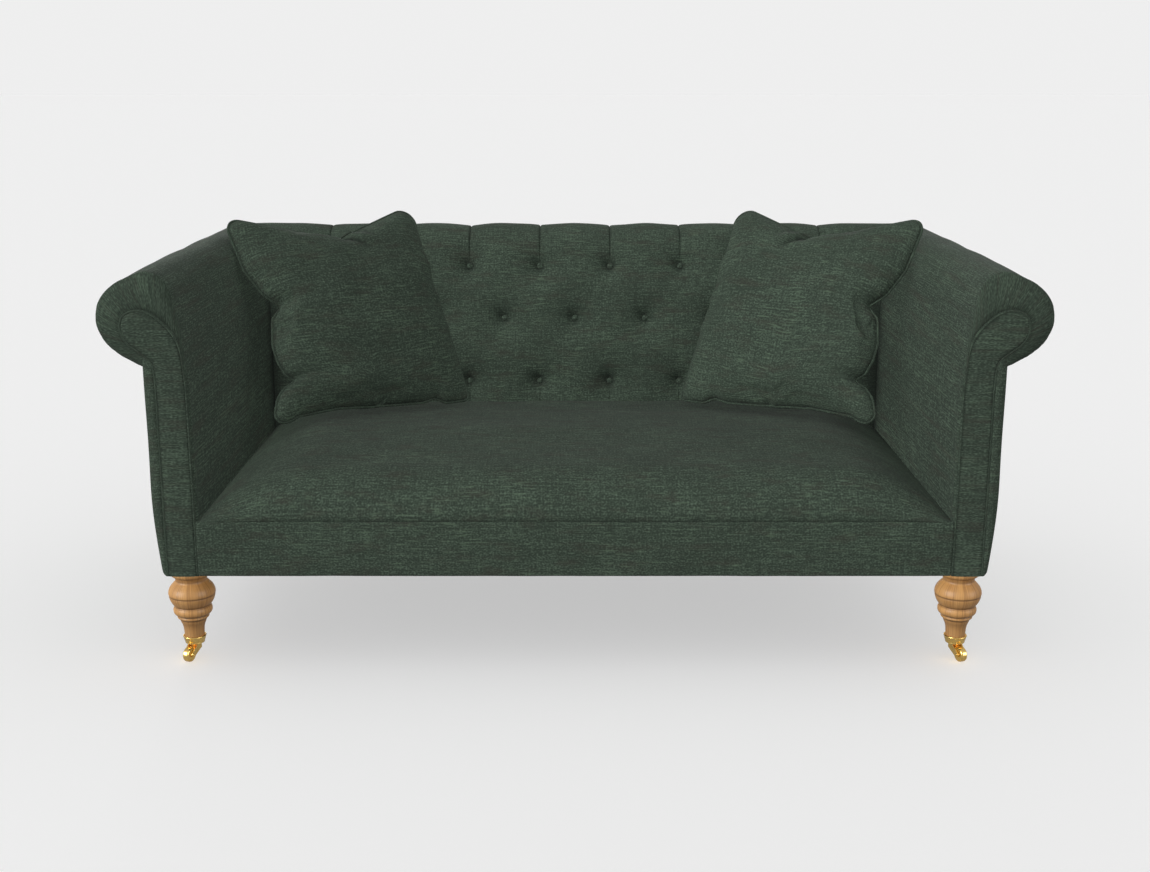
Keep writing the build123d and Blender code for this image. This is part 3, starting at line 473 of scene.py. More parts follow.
# Front band: a plain border of linen over thin wadding, sewn to the seat along one straight seam,
# tucked in beside the facings and tacked under the front rail.
base_z, band_end, band_flat = 0.1817, 0.6932, 0.681
band_section = np.vstack(
    [
        [(-0.446, base_z + 0.0006), (-0.472, base_z)],
        through([(-0.4775, base_z + 0.0002), (-0.4798, base_z + 0.0022), (-0.4806, base_z + 0.012)], 8),
        through([(-0.4808, base_z + 0.025), (-0.4815, 0.236), (-0.4806, seam_z - 0.014)], 12),
        through([(-0.4804, seam_z - 0.008), (-0.4797, seam_z - 0.0035), (-0.4765, seam_z - 0.0020)], 6),
    ]
)
band_turn = np.linspace(band_flat, band_end, 9)[1:]
band_x = np.concatenate([-band_turn[::-1], np.linspace(-band_flat, band_flat, 119), band_turn])
band = net_of(band_x, band_section[:, :1], band_section[:, 1:])
tucked = 1 - np.clip((band_end - np.abs(band_x)) / 0.006, 0, 1)
band[..., 1] += 0.004 * tucked**2 + 0.0006 * ripple(band[..., 0], band[..., 2], 0.14)
band_cloth = np.stack([band[..., 0] + 3.1, run_along(band, 0) + 0.4], -1)
# Painted shade: darker along the seam under the seat and in the tucks beside the facings.
band_painted_shade = np.maximum(
    0.12 * np.exp(-(seam_z - band[..., 2]) / 0.0025),
    0.6 * np.exp(-(band_end - np.abs(band[..., 0])) / 0.0022),
)
front_band = net_skin("front_band", band, band_cloth, linen, False, band_painted_shade)
upholster(front_band, "sofa", 0.5, "front_border")


# Arms: foam and wadding over the scroll board and liner. The linen runs up the inside, over the scroll and
# under it, is tacked to the rails and is gathered round the front rim into the facing's seam.
arm_axis_x, back_axis_y, axis_z, roll, top_z = 0.764, 0.394, 0.654, 0.086, 0.740
foot_z = 0.270


def scroll_face(z, face, axis, bend, nose):
    """Where the inside of a scroll lies at a height: upright, then swept back, then round the nose."""
    reach = axis - face
    nose_z = top_z - nose
    sweep = (reach**2 + (nose_z - bend) ** 2 - nose**2) / (2 * (reach - nose))
    meet = bend + sweep * (nose_z - bend) / math.hypot(nose_z - bend, sweep - reach)
    swept = face + sweep - np.sqrt(np.maximum(sweep**2 - np.maximum(z - bend, 0) ** 2, 0))
    rounded = axis - np.sqrt(np.maximum(nose**2 - (z - nose_z) ** 2, 0))
    return np.where(z < meet, swept, rounded)


def arm_face(z):
    return scroll_face(z, inside_x, arm_axis_x, 0.480, 0.048)


def back_face(z):
    return scroll_face(z, inside_back_y, back_axis_y, 0.400, 0.086)


def scroll_heights(rows, turns):
    """Heights up the inside, and the angles round the roll, that arms and back share at their mitre."""
    rise = foot_z + (top_z - foot_z) * np.sin(np.linspace(0, 1, rows) * np.pi / 2)
    angle = np.radians(np.linspace(90, -97, turns + 1)[1:])
    return rise, angle


stem_in, stem_out, curl_tip = 0.6940, 0.7480, (0.8042, 0.6480)
facing_inner = [
    (stem_in, base_z), (stem_in, 0.300), (stem_in, 0.430), (0.6942, 0.530), (0.6966, 0.564), (0.7012, 0.606),
    (0.7153, 0.6365), (0.7400, 0.6615), (0.7600, 0.6718), (0.7800, 0.6728), (0.7975, 0.6645), curl_tip,
]
facing_outer = [
    (stem_out, base_z), (stem_out, 0.300), (stem_out, 0.430), (0.7478, 0.530), (0.7508, 0.573),
    (0.7600, 0.5885), (0.7740, 0.5995), (0.7890, 0.6115), (0.7990, 0.6245), (0.8035, 0.6365), curl_tip,
]
rise, angle = scroll_heights(150, 96)
arm_line = np.concatenate(
    [
        np.stack([arm_face(rise), rise], -1),
        np.stack([arm_axis_x + roll * np.cos(angle), axis_z + roll * np.sin(angle)], -1),
    ]
)
rim_start, rim_end = 0.545, 0.560
straight = int(np.searchsorted(rise, rim_start))
facing_edge = np.vstack([through(facing_inner, 400), through(facing_outer, 400)[::-1]])
scroll_from = int(np.argmax(facing_edge[:, 1] > rim_start))
scroll_to = len(facing_edge) - int(np.argmax(facing_edge[::-1, 1] > rim_end))
curl = facing_edge[scroll_from:scroll_to]
arm_run = np.concatenate([[0], np.cumsum(np.linalg.norm(np.diff(arm_line[straight:], axis=0), axis=1))])
curl_step = np.linspace(0, 1, 600)
curl_even = even(curl, len(curl_step))
rim_line = np.stack([np.interp(arm_run / arm_run[-1], curl_step, place) for place in curl_even.T], -1)
rim_line = np.vstack([np.stack([np.full(straight, stem_in), rise[:straight]], -1), rim_line])
rim_gap = np.linalg.norm(arm_line - rim_line, axis=1)
rim_depth = np.clip(rim_gap * 0.5, 0.008, 0.021)
rear_y = np.concatenate([back_face(rise), back_axis_y + roll * np.cos(angle)])
rim_steps = np.linspace(0, np.pi / 2, 15)
body_steps = np.linspace(0, 1, 46)[1:]
rim_count, rise_count = len(rim_steps), len(rise)
arm = np.empty((len(arm_line), rim_count + len(body_steps), 3))
rim_y = front_y + 0.0075
for column, turn in enumerate(rim_steps):
    arm[:, column, [0, 2]] = rim_line + (arm_line - rim_line) * math.sin(turn)
    arm[:, column, 1] = rim_y + rim_depth * (1 - math.cos(turn))
for column, share in enumerate(body_steps, rim_count):
    arm[:, column, [0, 2]] = arm_line
    arm[:, column, 1] = rim_y + rim_depth + (rear_y - rim_y - rim_depth) * share
drawn_turn = (-95, -80, -64, -45, -38, -27, -16, -7, 0, 20, 30, 45, 64, 75, 90)
drawn_by = (0, -4, -6.4, -5, -3.4, -0.8, 0.9, 3.2, 3.4, 3.2, 1.4, -1.8, -4.6, -3.6, 0)
drawn = 0.001 * np.interp(np.degrees(angle), drawn_turn, drawn_by)
at_front = np.exp(-(((arm[rise_count:, :, 1] - rim_y) / 0.16) ** 2))
at_front[:, :rim_count] *= np.sin(rim_steps)
arm[rise_count:, :, 0] += np.cos(angle)[:, None] * drawn[:, None] * at_front
arm[rise_count:, :, 2] += np.sin(angle)[:, None] * drawn[:, None] * at_front
around = np.concatenate([np.zeros(straight), arm_run])
gather_pitch = 0.0135
gather = np.sin(2 * np.pi * around / gather_pitch + 1.4 * np.sin(around * 61) + 0.8 * np.sin(around * 143))
fullness = np.clip(around / 0.06, 0, 1) * np.clip((rim_gap - 0.01) / 0.02, 0, 1)
pull = np.zeros(arm.shape[1])
pull[:rim_count] = np.sin(rim_steps + 0.35) * np.cos(rim_steps) ** 0.6
pull[rim_count : rim_count + 3] = (0.06, 0.03, 0.01)
lift = 0.0004 * gather[:, None] * fullness[:, None] * pull
lift[:, rim_count:] += 0.0012 * ripple(arm[:, rim_count:, 1], around[:, None], 0.27)
lift[:, -1] = 0
arm += outward(arm) * -lift[..., None]


def in_corner(z):
    """How deep a height lies in the corner of arm and back: 0 by the roll, 1 well below it."""
    return np.clip((0.66 - z) / 0.14, 0, 1)


# Painted shade: darker along the facing's seam, in the mitre with the back, deep in the corner behind the
# cushions, and over the gathered rim.
arm_painted_shade = np.zeros(arm.shape[:2])
arm_painted_shade[:, :3] = (0.75, 0.35, 0.1)
low = in_corner(arm_line[:, 1:])
corner_gap = np.maximum(rear_y[:, None] - arm[..., 1], 0)
arm_painted_shade = np.maximum(arm_painted_shade, 0.75 * np.exp(-corner_gap / 0.003))
arm_painted_shade = np.maximum(arm_painted_shade, 1.12 * low * np.exp(-((corner_gap / 0.045) ** 1.2)))
arm_painted_shade += (0.10 + 0.09 * np.maximum(gather, 0)[:, None] ** 2) * fullness[:, None] * pull
arm_u = run_along(arm, 1)
arm_u = arm_u - arm_u[:, rim_count - 1 : rim_count]
arm_u *= np.where(arm_u < 0, 0.6, 0.32)
finer = 1 + 0.5 * np.clip((np.arange(len(arm_line)) - straight) / 40, 0, 1)
arm_v = np.cumsum(np.gradient(run_along(arm, 0)[:, 30]) * finer)
arm_cloth = np.stack([arm_u, np.repeat(arm_v[:, None], arm.shape[1], 1)], -1)
for side, way in hands:
    cloth = arm_cloth + (5 * way, 2.0)
    pad = net_skin(f"{side}_arm_pad", arm * (way, 1, 1), cloth, linen, way > 0, arm_painted_shade)
    upholster(pad, "sofa", 0.8, f"{side}_arm_cover", f"{side}_arm_foam")


# Arm facings: flat scroll-shaped panels of linen over thin wadding, piped round the edge with covered cord.
# They are sewn to the gathered arm cover and hide the scroll boards down to the base.
facing_rows, facing_columns, stem_rows, stem_top_z = 150, 17, 93, 0.530
stem_z = np.linspace(base_z, stem_top_z, stem_rows)


def split_line(line, above):
    """One edge of the facing: the stem at set heights, then the scroll at even steps."""
    fine = through(line, 1200)
    bend = int(np.argmax(fine[:, 1] >= above[-1]))
    stem = np.stack([np.interp(above, fine[: bend + 1, 1], fine[: bend + 1, 0]), above], -1)
    return np.vstack([stem, even(fine[bend:], facing_rows - len(above) + 1)[1:]])


inner, outer = split_line(facing_inner, stem_z), split_line(facing_outer, stem_z)
cross = np.pad((1 - np.cos(np.linspace(0, np.pi, facing_columns))) / 2, 1, "edge")
facing = np.empty((facing_rows, len(cross), 3))
facing[..., [0, 2]] = inner[:, None] + (outer - inner)[:, None] * cross[:, None]
span = np.linalg.norm(outer - inner, axis=1)
crown = np.clip(span / 0.054, 0, 1)[:, None] * np.sin(np.linspace(0, np.pi, facing_columns)) ** 0.55
facing[:, 1:-1, 1] = front_y + 0.0045 - 0.0055 * crown
facing[:, [0, -1], 1] = front_y + 0.016
facing[:, 1:-1, 1] += 0.0005 * ripple(facing[:, 1:-1, 0], facing[:, 1:-1, 2], 0.09)


def tube(name, line, radius, finish, sides=10, closed=False, shift=(0.0, 0.0), crease_and_painted_shade=None):
    """A covered cord along a line."""
    line = np.array(line, float)
    ahead = np.roll(line, -1, 0) - np.roll(line, 1, 0)
    if not closed:
        ahead[0], ahead[-1] = line[1] - line[0], line[-1] - line[-2]
    ahead /= np.linalg.norm(ahead, axis=1, keepdims=True)
    side_way = np.empty_like(line)
    start = np.array((0.31, -0.42, 0.85))
    for k, forward in enumerate(ahead):
        start = start - forward * (start @ forward)
        start /= np.linalg.norm(start)
        side_way[k] = start
    up_way = np.cross(ahead, side_way)
    turn = np.linspace(0, 2 * np.pi, sides, endpoint=False)
    ring = side_way[:, None] * np.cos(turn)[:, None] + up_way[:, None] * np.sin(turn)[:, None]
    net = line[:, None] + radius * ring
    if closed:
        net = np.concatenate([net, net[:1]])
    run = run_along(net, 0)
    cloth = np.stack([run + shift[0], np.broadcast_to(turn * radius, run.shape) + shift[1]], -1)
    faces = net_faces(len(net), sides, True, True)
    painted_shade_per_point = None if crease_and_painted_shade is None else np.repeat(crease_and_painted_shade, sides)
    return skin(name, net.reshape(-1, 3), faces, finish, cloth.reshape(-1, 2), painted_shade_per_point)


def sew_on(cord, body):
    """Trim that stands for no solid of its own."""
    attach(cord, body)


piping_radius = 0.0026
# Painted shade: a darker band along both edges, beside the piping.
facing_painted_shade = np.zeros(facing.shape[:2])
facing_painted_shade[:, :5] = facing_painted_shade[:, :-6:-1] = (0.8, 0.8, 0.8, 0.6, 0.1)
facing_round = np.vstack([inner[:-1], outer[::-1]])
facing_cord = np.insert(facing_round, 1, front_y + 0.0035, axis=1)
for side, way in hands:
    cloth = facing[..., [0, 2]] * (0.7 * way, 1.5) + (0.7 * way, 7.0)
    panel = net_skin(f"{side}_facing", facing * (way, 1, 1), cloth, linen, way < 0, facing_painted_shade)
    upholster(panel, "sofa", 0.4, f"{side}_arm_facing")
    cord = tube(f"{side}_facing_piping", even(facing_cord, 420) * (way, 1, 1), piping_radius, piping_in_painted_shade)
    sew_on(cord, "sofa")


# Outside arms: plain linen panels over thin wadding, tacked under the scroll, wrapped round the front corner
# to the facing, piped down the back corner and drawn in at the foot.
outside_x, outside_back_y = 0.772, 0.402


def tuck_in(z):
    """How far an outer panel is drawn in towards the base."""
    return 0.0105 * np.clip((0.345 - z) / 0.16, 0, 1) ** 2


def panel_heights(top):
    """Heights of an outer panel's rows, close together at the hem."""
    return np.concatenate([[base_z, base_z + 0.0008, base_z + 0.004], np.linspace(base_z + 0.01, top, 40)])


panel_z = panel_heights(0.5750)
panel_edge = 0.7485
corner = np.radians(np.linspace(-90, 0, 10))
corner_r = 0.016
corner_x = outside_x - corner_r + corner_r * np.cos(corner)
corner_y = front_y + 0.001 + corner_r * (1 + np.sin(corner))
plan = np.vstack(
    [
        [(panel_edge, front_y + 0.0045), (0.7520, front_y + 0.0012)],
        np.stack([corner_x, corner_y], -1),
        np.stack([np.full(40, outside_x), np.linspace(front_y + 0.03, outside_back_y - 0.003, 40)], -1),
    ]
)
panel_top, rows_z = panel_z[-1], panel_z[:, None]
under_scroll = outer[outer[:, 1] > stem_top_z]
reach = np.interp(plan[:, 0], under_scroll[:, 0], under_scroll[:, 1])
reach = np.where(plan[:, 1] < front_y + 0.02, np.maximum(reach + 0.001, panel_top), panel_top)
outside = net_of(
    plan[:, 0] - tuck_in(rows_z) * np.clip((plan[:, 0] - panel_edge) / 0.02, 0, 1),
    plan[:, 1],
    base_z + (rows_z - base_z) * (reach - base_z) / (panel_top - base_z),
)
hem = np.clip((rows_z - base_z) / 0.006, 0, 1)
outside[..., 0] -= 0.003 * (1 - hem) ** 2
bulge = np.sin(np.pi * np.clip((plan[:, 1] + 0.46) / 0.86, 0, 1)) ** 0.6
swell = np.sin(np.pi * np.clip((rows_z - base_z) / 0.38, 0, 1)) ** 0.7
slack = 0.0007 * ripple(outside[..., 1], outside[..., 2], 0.3)
outside[..., 0] += 0.0025 * bulge * swell + slack
turned_under = 0.02
outside = np.concatenate([outside[:1] - (turned_under, 0, 0), outside])
outside_cloth = np.stack([run_along(outside, 1), run_along(outside, 0)], -1)
edge_z = np.linspace(0.188, 0.566, 60)
edge = np.stack([outside_x - tuck_in(edge_z), np.full(len(edge_z), outside_back_y - 0.001), edge_z], -1)
for side, way in hands:
    cloth = outside_cloth + (2 * way, 9.0)
    panel = net_skin(f"{side}_outer_arm", outside * (way, 1, 1), cloth, linen, way < 0)
    upholster(panel, "sofa", 0.3, f"{side}_outside_arm")
    cord = tube(f"{side}_back_corner_piping", edge * (way, 1, 1), piping_radius, piping_in_painted_shade)
    sew_on(cord, "sofa")


# Back: thick wadding under linen, buttoned through to the webbing and rolled over the top rail.
# A pleat is folded from each top button over the roll, and from each low button down behind the seat.
back_rise, back_turn = scroll_heights(150, 70)
back_line = np.concatenate(
    [
        np.stack([back_face(back_rise), back_rise], -1),
        np.stack([back_axis_y + roll * np.cos(back_turn), axis_z + roll * np.sin(back_turn)], -1),
    ]
)
mitre_x = np.concatenate([arm_face(back_rise), arm_axis_x + roll * np.cos(back_turn)])
button_pitch = 0.160
pleats = (np.arange(8) - 3.5) * button_pitch
fine_steps = np.array((0.0008, 0.0018, 0.0032, 0.0050))
fine_steps = np.concatenate([-fine_steps, [0], fine_steps])
back_x = np.linspace(-inside_x, inside_x, 231)
back_x = back_x[np.abs(back_x[:, None] - pleats).min(1) > 0.0065]
back_x = np.sort(np.concatenate([back_x, (pleats[:, None] + fine_steps).ravel()]))
square_x = 0.62
spread = (np.abs(back_x) - square_x) / (inside_x - square_x) * (mitre_x[:, None] - square_x)
spread_x = np.where(np.abs(back_x) > square_x, np.sign(back_x) * (square_x + spread), back_x)
back = net_of(spread_x, back_line[:, :1], back_line[:, 1:])
back_run = np.concatenate([[0], np.cumsum(np.linalg.norm(np.diff(back_line, axis=0), axis=1))])


def up_the_back(z):
    """Length of cloth up the inside back to a height."""
    return float(np.interp(z, back_rise, back_run[: len(back_rise)]))


top_s, middle_s, low_s = up_the_back(0.656), up_the_back(0.538), up_the_back(0.391)
button_rows = ((top_s, 8), (middle_s, 7), (low_s, 8))
button_places = [((k - (n - 1) / 2) * button_pitch, up) for up, n in button_rows for k in range(n)]
x = back[..., 0]
s = np.broadcast_to(back_run[:, None], x.shape)
depth, dish, tuck = np.zeros((3, *x.shape))
for bx, bs in button_places:
    away = np.hypot(x - bx, s - bs)
    along, off = 0.6 * (s - bs) - 0.8 * (x - bx), 0.8 * (s - bs) + 0.6 * (x - bx)
    wedge_width = 0.005 + 0.3 * np.maximum(along, 0)
    wedge = np.exp(-((off / wedge_width) ** 2)) * np.exp(-((along / 0.020) ** 2))
    tuck = np.maximum(tuck, wedge * np.clip(along / 0.005, 0, 1))
    depth = np.maximum(depth, 0.0250 * np.exp(-((away / 0.023) ** 1.15)))
    dish = np.maximum(dish, 0.0050 * np.exp(-((away / 0.055) ** 2)))
from_pleat = np.abs(x[..., None] - pleats).min(-1)
between = np.clip(from_pleat / (button_pitch / 2), 0, 1)
above = np.clip((s - top_s - 0.004) / 0.04, 0, 1)
below = np.clip((low_s - 0.004 - s) / 0.03, 0, 1)
groove = np.exp(-from_pleat / 0.0016) * (above + 0.6 * below)
fold = 0.0048 * (1 - between) ** 1.7
# Painted shade: darker in the pleat grooves, in the pits round the buttons, and in a smear up and left of
# each button where the tuck would be in shadow.
back_painted_shade = np.maximum(0.75 * groove, np.clip((depth - 0.012) / 0.012, 0, 1))
back_painted_shade = np.maximum(back_painted_shade, 0.7 * tuck)
depth = depth + 0.0025 * tuck + dish + fold * (above + 0.45 * below) + 0.0036 * groove
for row_a, row_b, shift in ((top_s, middle_s, 0), (middle_s, low_s, button_pitch / 2)):
    t = np.clip((s - row_b) / (row_a - row_b), 0, 1)
    for slant in (-1, 1):
        line_x = (x + slant * t * button_pitch / 2 - shift) / button_pitch
        off = np.abs(line_x - np.round(line_x)) * button_pitch
        depth = depth + 0.0007 * np.sin(np.pi * t) * np.exp(-off / 0.006)
depth += 0.0009 * ripple(x, s, 0.12)
depth *= np.clip((mitre_x[:, None] - np.abs(x)) / 0.03, 0, 1)
back += outward(back) * depth[..., None]
back_cloth = np.stack([x, s], -1) + (1.3, 11.0)
# More painted shade: along both side edges, and deep in the corners by the arms below the roll.
back_painted_shade[:, [0, -1]] = 0.75
low = in_corner(back_line[:, 1:])
corner_gap = np.maximum(mitre_x[:, None] - np.abs(x), 0)
back_painted_shade = np.maximum(back_painted_shade, 1.15 * low * np.exp(-((corner_gap / 0.045) ** 1.3)))
back_pad = net_skin("back_pad", back, back_cloth, linen, False, back_painted_shade)
upholster(back_pad, "sofa", 0.85, "back_cover", "back_foam")
for side, way in hands:
    seam = even(np.stack([way * mitre_x, back_line[:, 0], back_line[:, 1]], -1)[12:], 200)
    # Painted shade: the corner cord is darker, most of all deep in the corner below the roll.
    seam_painted_shade = 0.2 + 0.9 * in_corner(seam[:, 2]) * (seam[:, 1] < back_axis_y)
    cord = tube(f"{side}_corner_seam", seam, 0.0014, piping_in_painted_shade, crease_and_painted_shade=seam_painted_shade)
    sew_on(cord, "sofa")


# Back buttons: domed moulds covered in the same linen, in rows of eight, seven and eight.
# Each is tied with twine through the wadding to the webbing, which draws it down into a dimple.
button_net, button_faces = [], []
button_drop = 0.0215
dome = 0.82 * np.array(
    [
        (0.0, 0.0064), (0.0024, 0.0062), (0.0048, 0.0054), (0.0067, 0.0042),
        (0.0080, 0.0026), (0.0085, 0.0008), (0.0080, -0.0010), (0.0065, -0.0022),
    ]
)
ring = np.linspace(0, 2 * np.pi, 24, endpoint=False)
for bx, bs in button_places:
    z_here = float(np.interp(bs, back_run[: len(back_rise)], back_rise))
    y_here = float(back_face(np.array(z_here)))
    slope = float(back_face(np.array(z_here + 0.002)) - back_face(np.array(z_here - 0.002))) / 0.004
    out = np.array((0, -1, slope)) / math.hypot(1, slope)
    over = np.array((0, slope, 1)) / math.hypot(1, slope)
    seat_point = np.array((bx, y_here, z_here)) - out * button_drop
    first = len(button_net)
    spokes = [np.cos(turn) * np.array((1, 0, 0)) + np.sin(turn) * over for turn in ring]
    button_net += [seat_point + out * height + radius * spoke for radius, height in dome for spoke in spokes]
    button_faces += [tuple(first + i for i in quad) for quad in net_faces(len(dome), len(ring), True, True)]
button_net = np.array(button_net)
buttons = skin("covered_buttons", button_net, button_faces, linen, button_net[:, [0, 2]] + (0.9, 13))
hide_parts("back_buttons")
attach(buttons, "sofa")


# Outside back: one plain linen panel over thin wadding, tacked up under the roll,
# blind-sewn to the piping at the sides and turned in under the base.
outer_z = panel_heights(0.5695)
outer_x = np.linspace(-outside_x + 0.002, outside_x - 0.002, 91)
drawn_in = tuck_in(outer_z)[:, None]
outer_back = net_of(outer_x * (1 - drawn_in / outside_x), outside_back_y - drawn_in * 0.4, outer_z[:, None])
swell = np.sin(np.pi * np.clip((outer_z - base_z) / 0.385, 0, 1)) ** 0.6
drum = np.clip((outside_x - np.abs(outer_x)) / 0.06, 0, 1) ** 0.5
slack = 0.0008 * ripple(outer_back[..., 0], outer_back[..., 2], 0.35)
outer_back[..., 1] += 0.004 * swell[:, None] * drum + slack
outer_back = np.concatenate([outer_back[:1] - (0, turned_under, 0), outer_back])
outer_cloth = np.stack([outer_back[..., 0] + 6.0, run_along(outer_back, 0) + 15.0], -1)
outer_panel = net_skin("outer_back", outer_back, outer_cloth, linen, True)
upholster(outer_panel, "sofa", 0.3, "outside_back")


# Underside: a thin black dust cloth of bonded fibre, stretched under the rails and stapled to them,
# sagging a little in the middle and cut out round the four legs.
dust = Finish("black_dust_cloth")
lay = dust.node("ShaderNodeUVMap", {"uv_map": "cloth"})
fibre = dust.grain(lay, (300, 300, 1), 4, 0.7)
dust.fill(Base_Color=dust.dye(fibre, tint(20, 20, 21), tint(38, 38, 40)), Roughness=0.85 + fibre * 0.1)
dust.raise_up(fibre, 0.0005)
cloth_wide, cloth_deep, cloth_front = 1.51, 0.85, -0.462
back_leg_y, leg_room, outer_room, front_room = 0.332, 0.041, 0.0339, 0.0395
cut_x = [way * (leg_x + room) for side, way in hands for room in (-leg_room, outer_room)]
cut_y = [front_leg_y - front_room, front_leg_y + leg_room, back_leg_y - leg_room, back_leg_y + leg_room]
under_x = np.concatenate([np.linspace(-cloth_wide / 2, cloth_wide / 2, 61), cut_x])
under_y = np.concatenate([np.linspace(cloth_front, cloth_front + cloth_deep, 35), cut_y])
under_x, under_y = np.unique(under_x.round(5)), np.unique(under_y.round(5))
rows_y = under_y[:, None]
sag = np.sin(np.pi * (under_x / cloth_wide + 0.5)) * np.sin(np.pi * (rows_y - cloth_front) / cloth_deep)
under = net_of(under_x, rows_y, base_z + 0.0012 - 0.004 * np.maximum(sag, 0) ** 0.8).reshape(-1, 3)
kept = []
for face in net_faces(len(under_y), len(under_x), False, True):
    mid = under[list(face)].mean(0)
    from_leg = min(abs(mid[1] - front_leg_y), abs(mid[1] - back_leg_y))
    if max(abs(abs(mid[0]) - leg_x), from_leg) >= leg_room:
        kept.append(face)
used = sorted({i for face in kept for i in face})
fresh = {old: new for new, old in enumerate(used)}
kept = [tuple(fresh[i] for i in face) for face in kept]
flat_points = under[used]
dust_cloth = skin("dust_cloth", flat_points, kept, dust, flat_points[:, :2])
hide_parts("bottom_cloth")
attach(dust_cloth, "sofa")


# Scatter cushions: feather pads in sewn linen covers with a piped edge, leaning loose in the corners.
# The cover is cut square and blown up by its filling, so its sides draw in and its corners stand as ears.
cushion_side, cushion_cells = 0.450, 60


def flat_cover():
    """Two squares of cloth sewn round the edge, with a little room between them."""
    line = np.linspace(-0.5, 0.5, cushion_cells + 1) * cushion_side
    a, b = np.meshgrid(line, line, indexing="ij")
    start = 0.004 * np.cos(np.pi * a / cushion_side) * np.cos(np.pi * b / cushion_side)
    front = np.stack([a, b, start], -1).reshape(-1, 3)
    n = cushion_cells + 1
    index = np.arange(n * n).reshape(n, n)
    edge = np.ones((n, n), bool)
    edge[1:-1, 1:-1] = False
    back_index = index.copy()
    back_index[~edge] = n * n + np.arange((~edge).sum())
    points = np.vstack([front, (front * (1, 1, -1))[~edge.ravel()]])
    faces = []
    for i in range(cushion_cells):
        for j in range(cushion_cells):
            round_cell = (i, i + 1, i + 1, i), (j, j, j + 1, j + 1)
            faces.append(tuple(index[round_cell].tolist()))
            faces.append(tuple(back_index[round_cell][[0, 3, 2, 1]].tolist()))
    ring_index = np.concatenate([index[:, 0], index[-1, 1:], index[-2::-1, -1], index[0, -2:0:-1]])
    return points, faces, ring_index


cover_points, cover_faces, seam_ring = flat_cover()
trial = skin("cover_trial", cover_points, cover_faces, linen)
cloth = trial.modifiers.new("filling", "CLOTH")
settings = cloth.settings
settings.quality = 6
settings.mass = 0.25
settings.tension_stiffness = settings.compression_stiffness = 30
settings.shear_stiffness = 12
settings.bending_stiffness = 0.6
settings.tension_damping = settings.compression_damping = settings.shear_damping = 12
settings.air_damping = 3
settings.use_pressure = True
settings.uniform_pressure_force = 4
settings.effector_weights.gravity = 0
cloth.collision_settings.use_collision = False
scene = bpy.context.scene
for step in range(1, 31):
    scene.frame_set(step)
shaped = trial.evaluated_get(bpy.context.evaluated_depsgraph_get())
blown = np.empty(len(cover_points) * 3, np.float32)
shaped.data.vertices.foreach_get("co", blown)
blown = blown.reshape(-1, 3).astype(float)
scene.frame_set(1)
bpy.data.objects.remove(trial)

half = 0.235
seam = np.vstack([blown[seam_ring], blown[seam_ring[:1]]])
foot, arm_edge, head, back_edge = (seam[k * cushion_cells : (k + 1) * cushion_cells + 1] for k in range(4))
a, b, puff = blown.T.copy()
back_edge, head = back_edge[::-1], head[::-1]
out_a = np.where(a > 0, np.interp(b, *arm_edge[:, 1::-1].T), -np.interp(b, *back_edge[:, 1::-1].T))
out_b = np.where(b > 0, np.interp(a, *head[:, :2].T), -np.interp(a, *foot[:, :2].T))
a, b = np.clip(a * half / out_a, -half, half), np.clip(b * half / out_b, -half, half)
full = np.clip(1 - (a / half) ** 2, 0, 1) * np.clip(1 - (b / half) ** 2, 0, 1)
crown_rise, blown_share = 0.064, 0.45
puff = blown_share * puff * crown_rise / np.abs(puff).max() + (
    (1 - blown_share) * np.sign(puff) * crown_rise * full**0.42
)
fold_at, fold_drop = -0.022, 0.060
steep = 1.5 + 6 * np.clip((a - fold_at) / 0.06, 0, 1)
by_seam = 0.001 + np.where(puff > 0, steep * (half - b), 0.6 * (half - a))
puff = puff * by_seam / (puff**4 + by_seam**4) ** 0.25

# The corners are sewn round, so they stand as soft ears.
ear = np.where((a < 0) & (b < 0), 0.016, 0.034)
beyond_a, beyond_b = np.maximum(np.abs(a) - half + ear, 0), np.maximum(np.abs(b) - half + ear, 0)
ease = np.maximum(beyond_a, beyond_b) / np.maximum(np.hypot(beyond_a, beyond_b), 1e-9)
ease = np.where((beyond_a > 0) & (beyond_b > 0), ease, 1)
a = np.sign(a) * (np.abs(a) - beyond_a * (1 - ease))
b = np.sign(b) * (np.abs(b) - beyond_b * (1 - ease))

# The top edge sags to a fold beside the inner ear; the edge by the arm is drawn in and nipped twice.
sag = np.where(a > fold_at, (0.225 - a) / (0.225 - fold_at), (a + 0.195) / (fold_at + 0.195))
b = b - fold_drop * np.clip(sag, 0, 1) * np.exp(-((np.maximum(half - b, 0) / 0.100) ** 1.5))
nip_b = (-235, -227, -209, -176, -158, -143, -125, -92, -57, 0, 26, 40, 55, 115, 211)
nip_in = (0, -10, -10, 6, 26, 62, 40, 30, 30, 44, 74, 58, 42, 13, 2)
nip = 0.001 * np.interp(1000 * b, nip_b, nip_in)
a = a - nip * np.clip((a - half + 0.24) / 0.24, 0, 1) ** 1.4
rise_a = (-235, -170, -145, -115, -60, 98, 193, 220, 240)
rise_b = (3, 4, 18, 12, 14, 25, 19, 6, 0)
foot_rise = 0.001 * np.interp(1000 * a, rise_a, rise_b)
b = b + foot_rise * np.exp(-((np.maximum(half + b, 0) / 0.07) ** 1.5))
crease_a, crease_b = a - fold_at, b - (half - fold_drop)
along, off = -crease_a * 0.75 - crease_b * 0.66, -crease_a * 0.66 + crease_b * 0.75 - 0.004
in_fold = np.clip((along + 0.012) / 0.02, 0, 1) * np.clip((0.075 - along) / 0.05, 0, 1)
crease_and_painted_shade = np.exp(-((off / 0.007) ** 2)) - 0.8 * np.exp(-(((off - 0.018) / 0.012) ** 2))
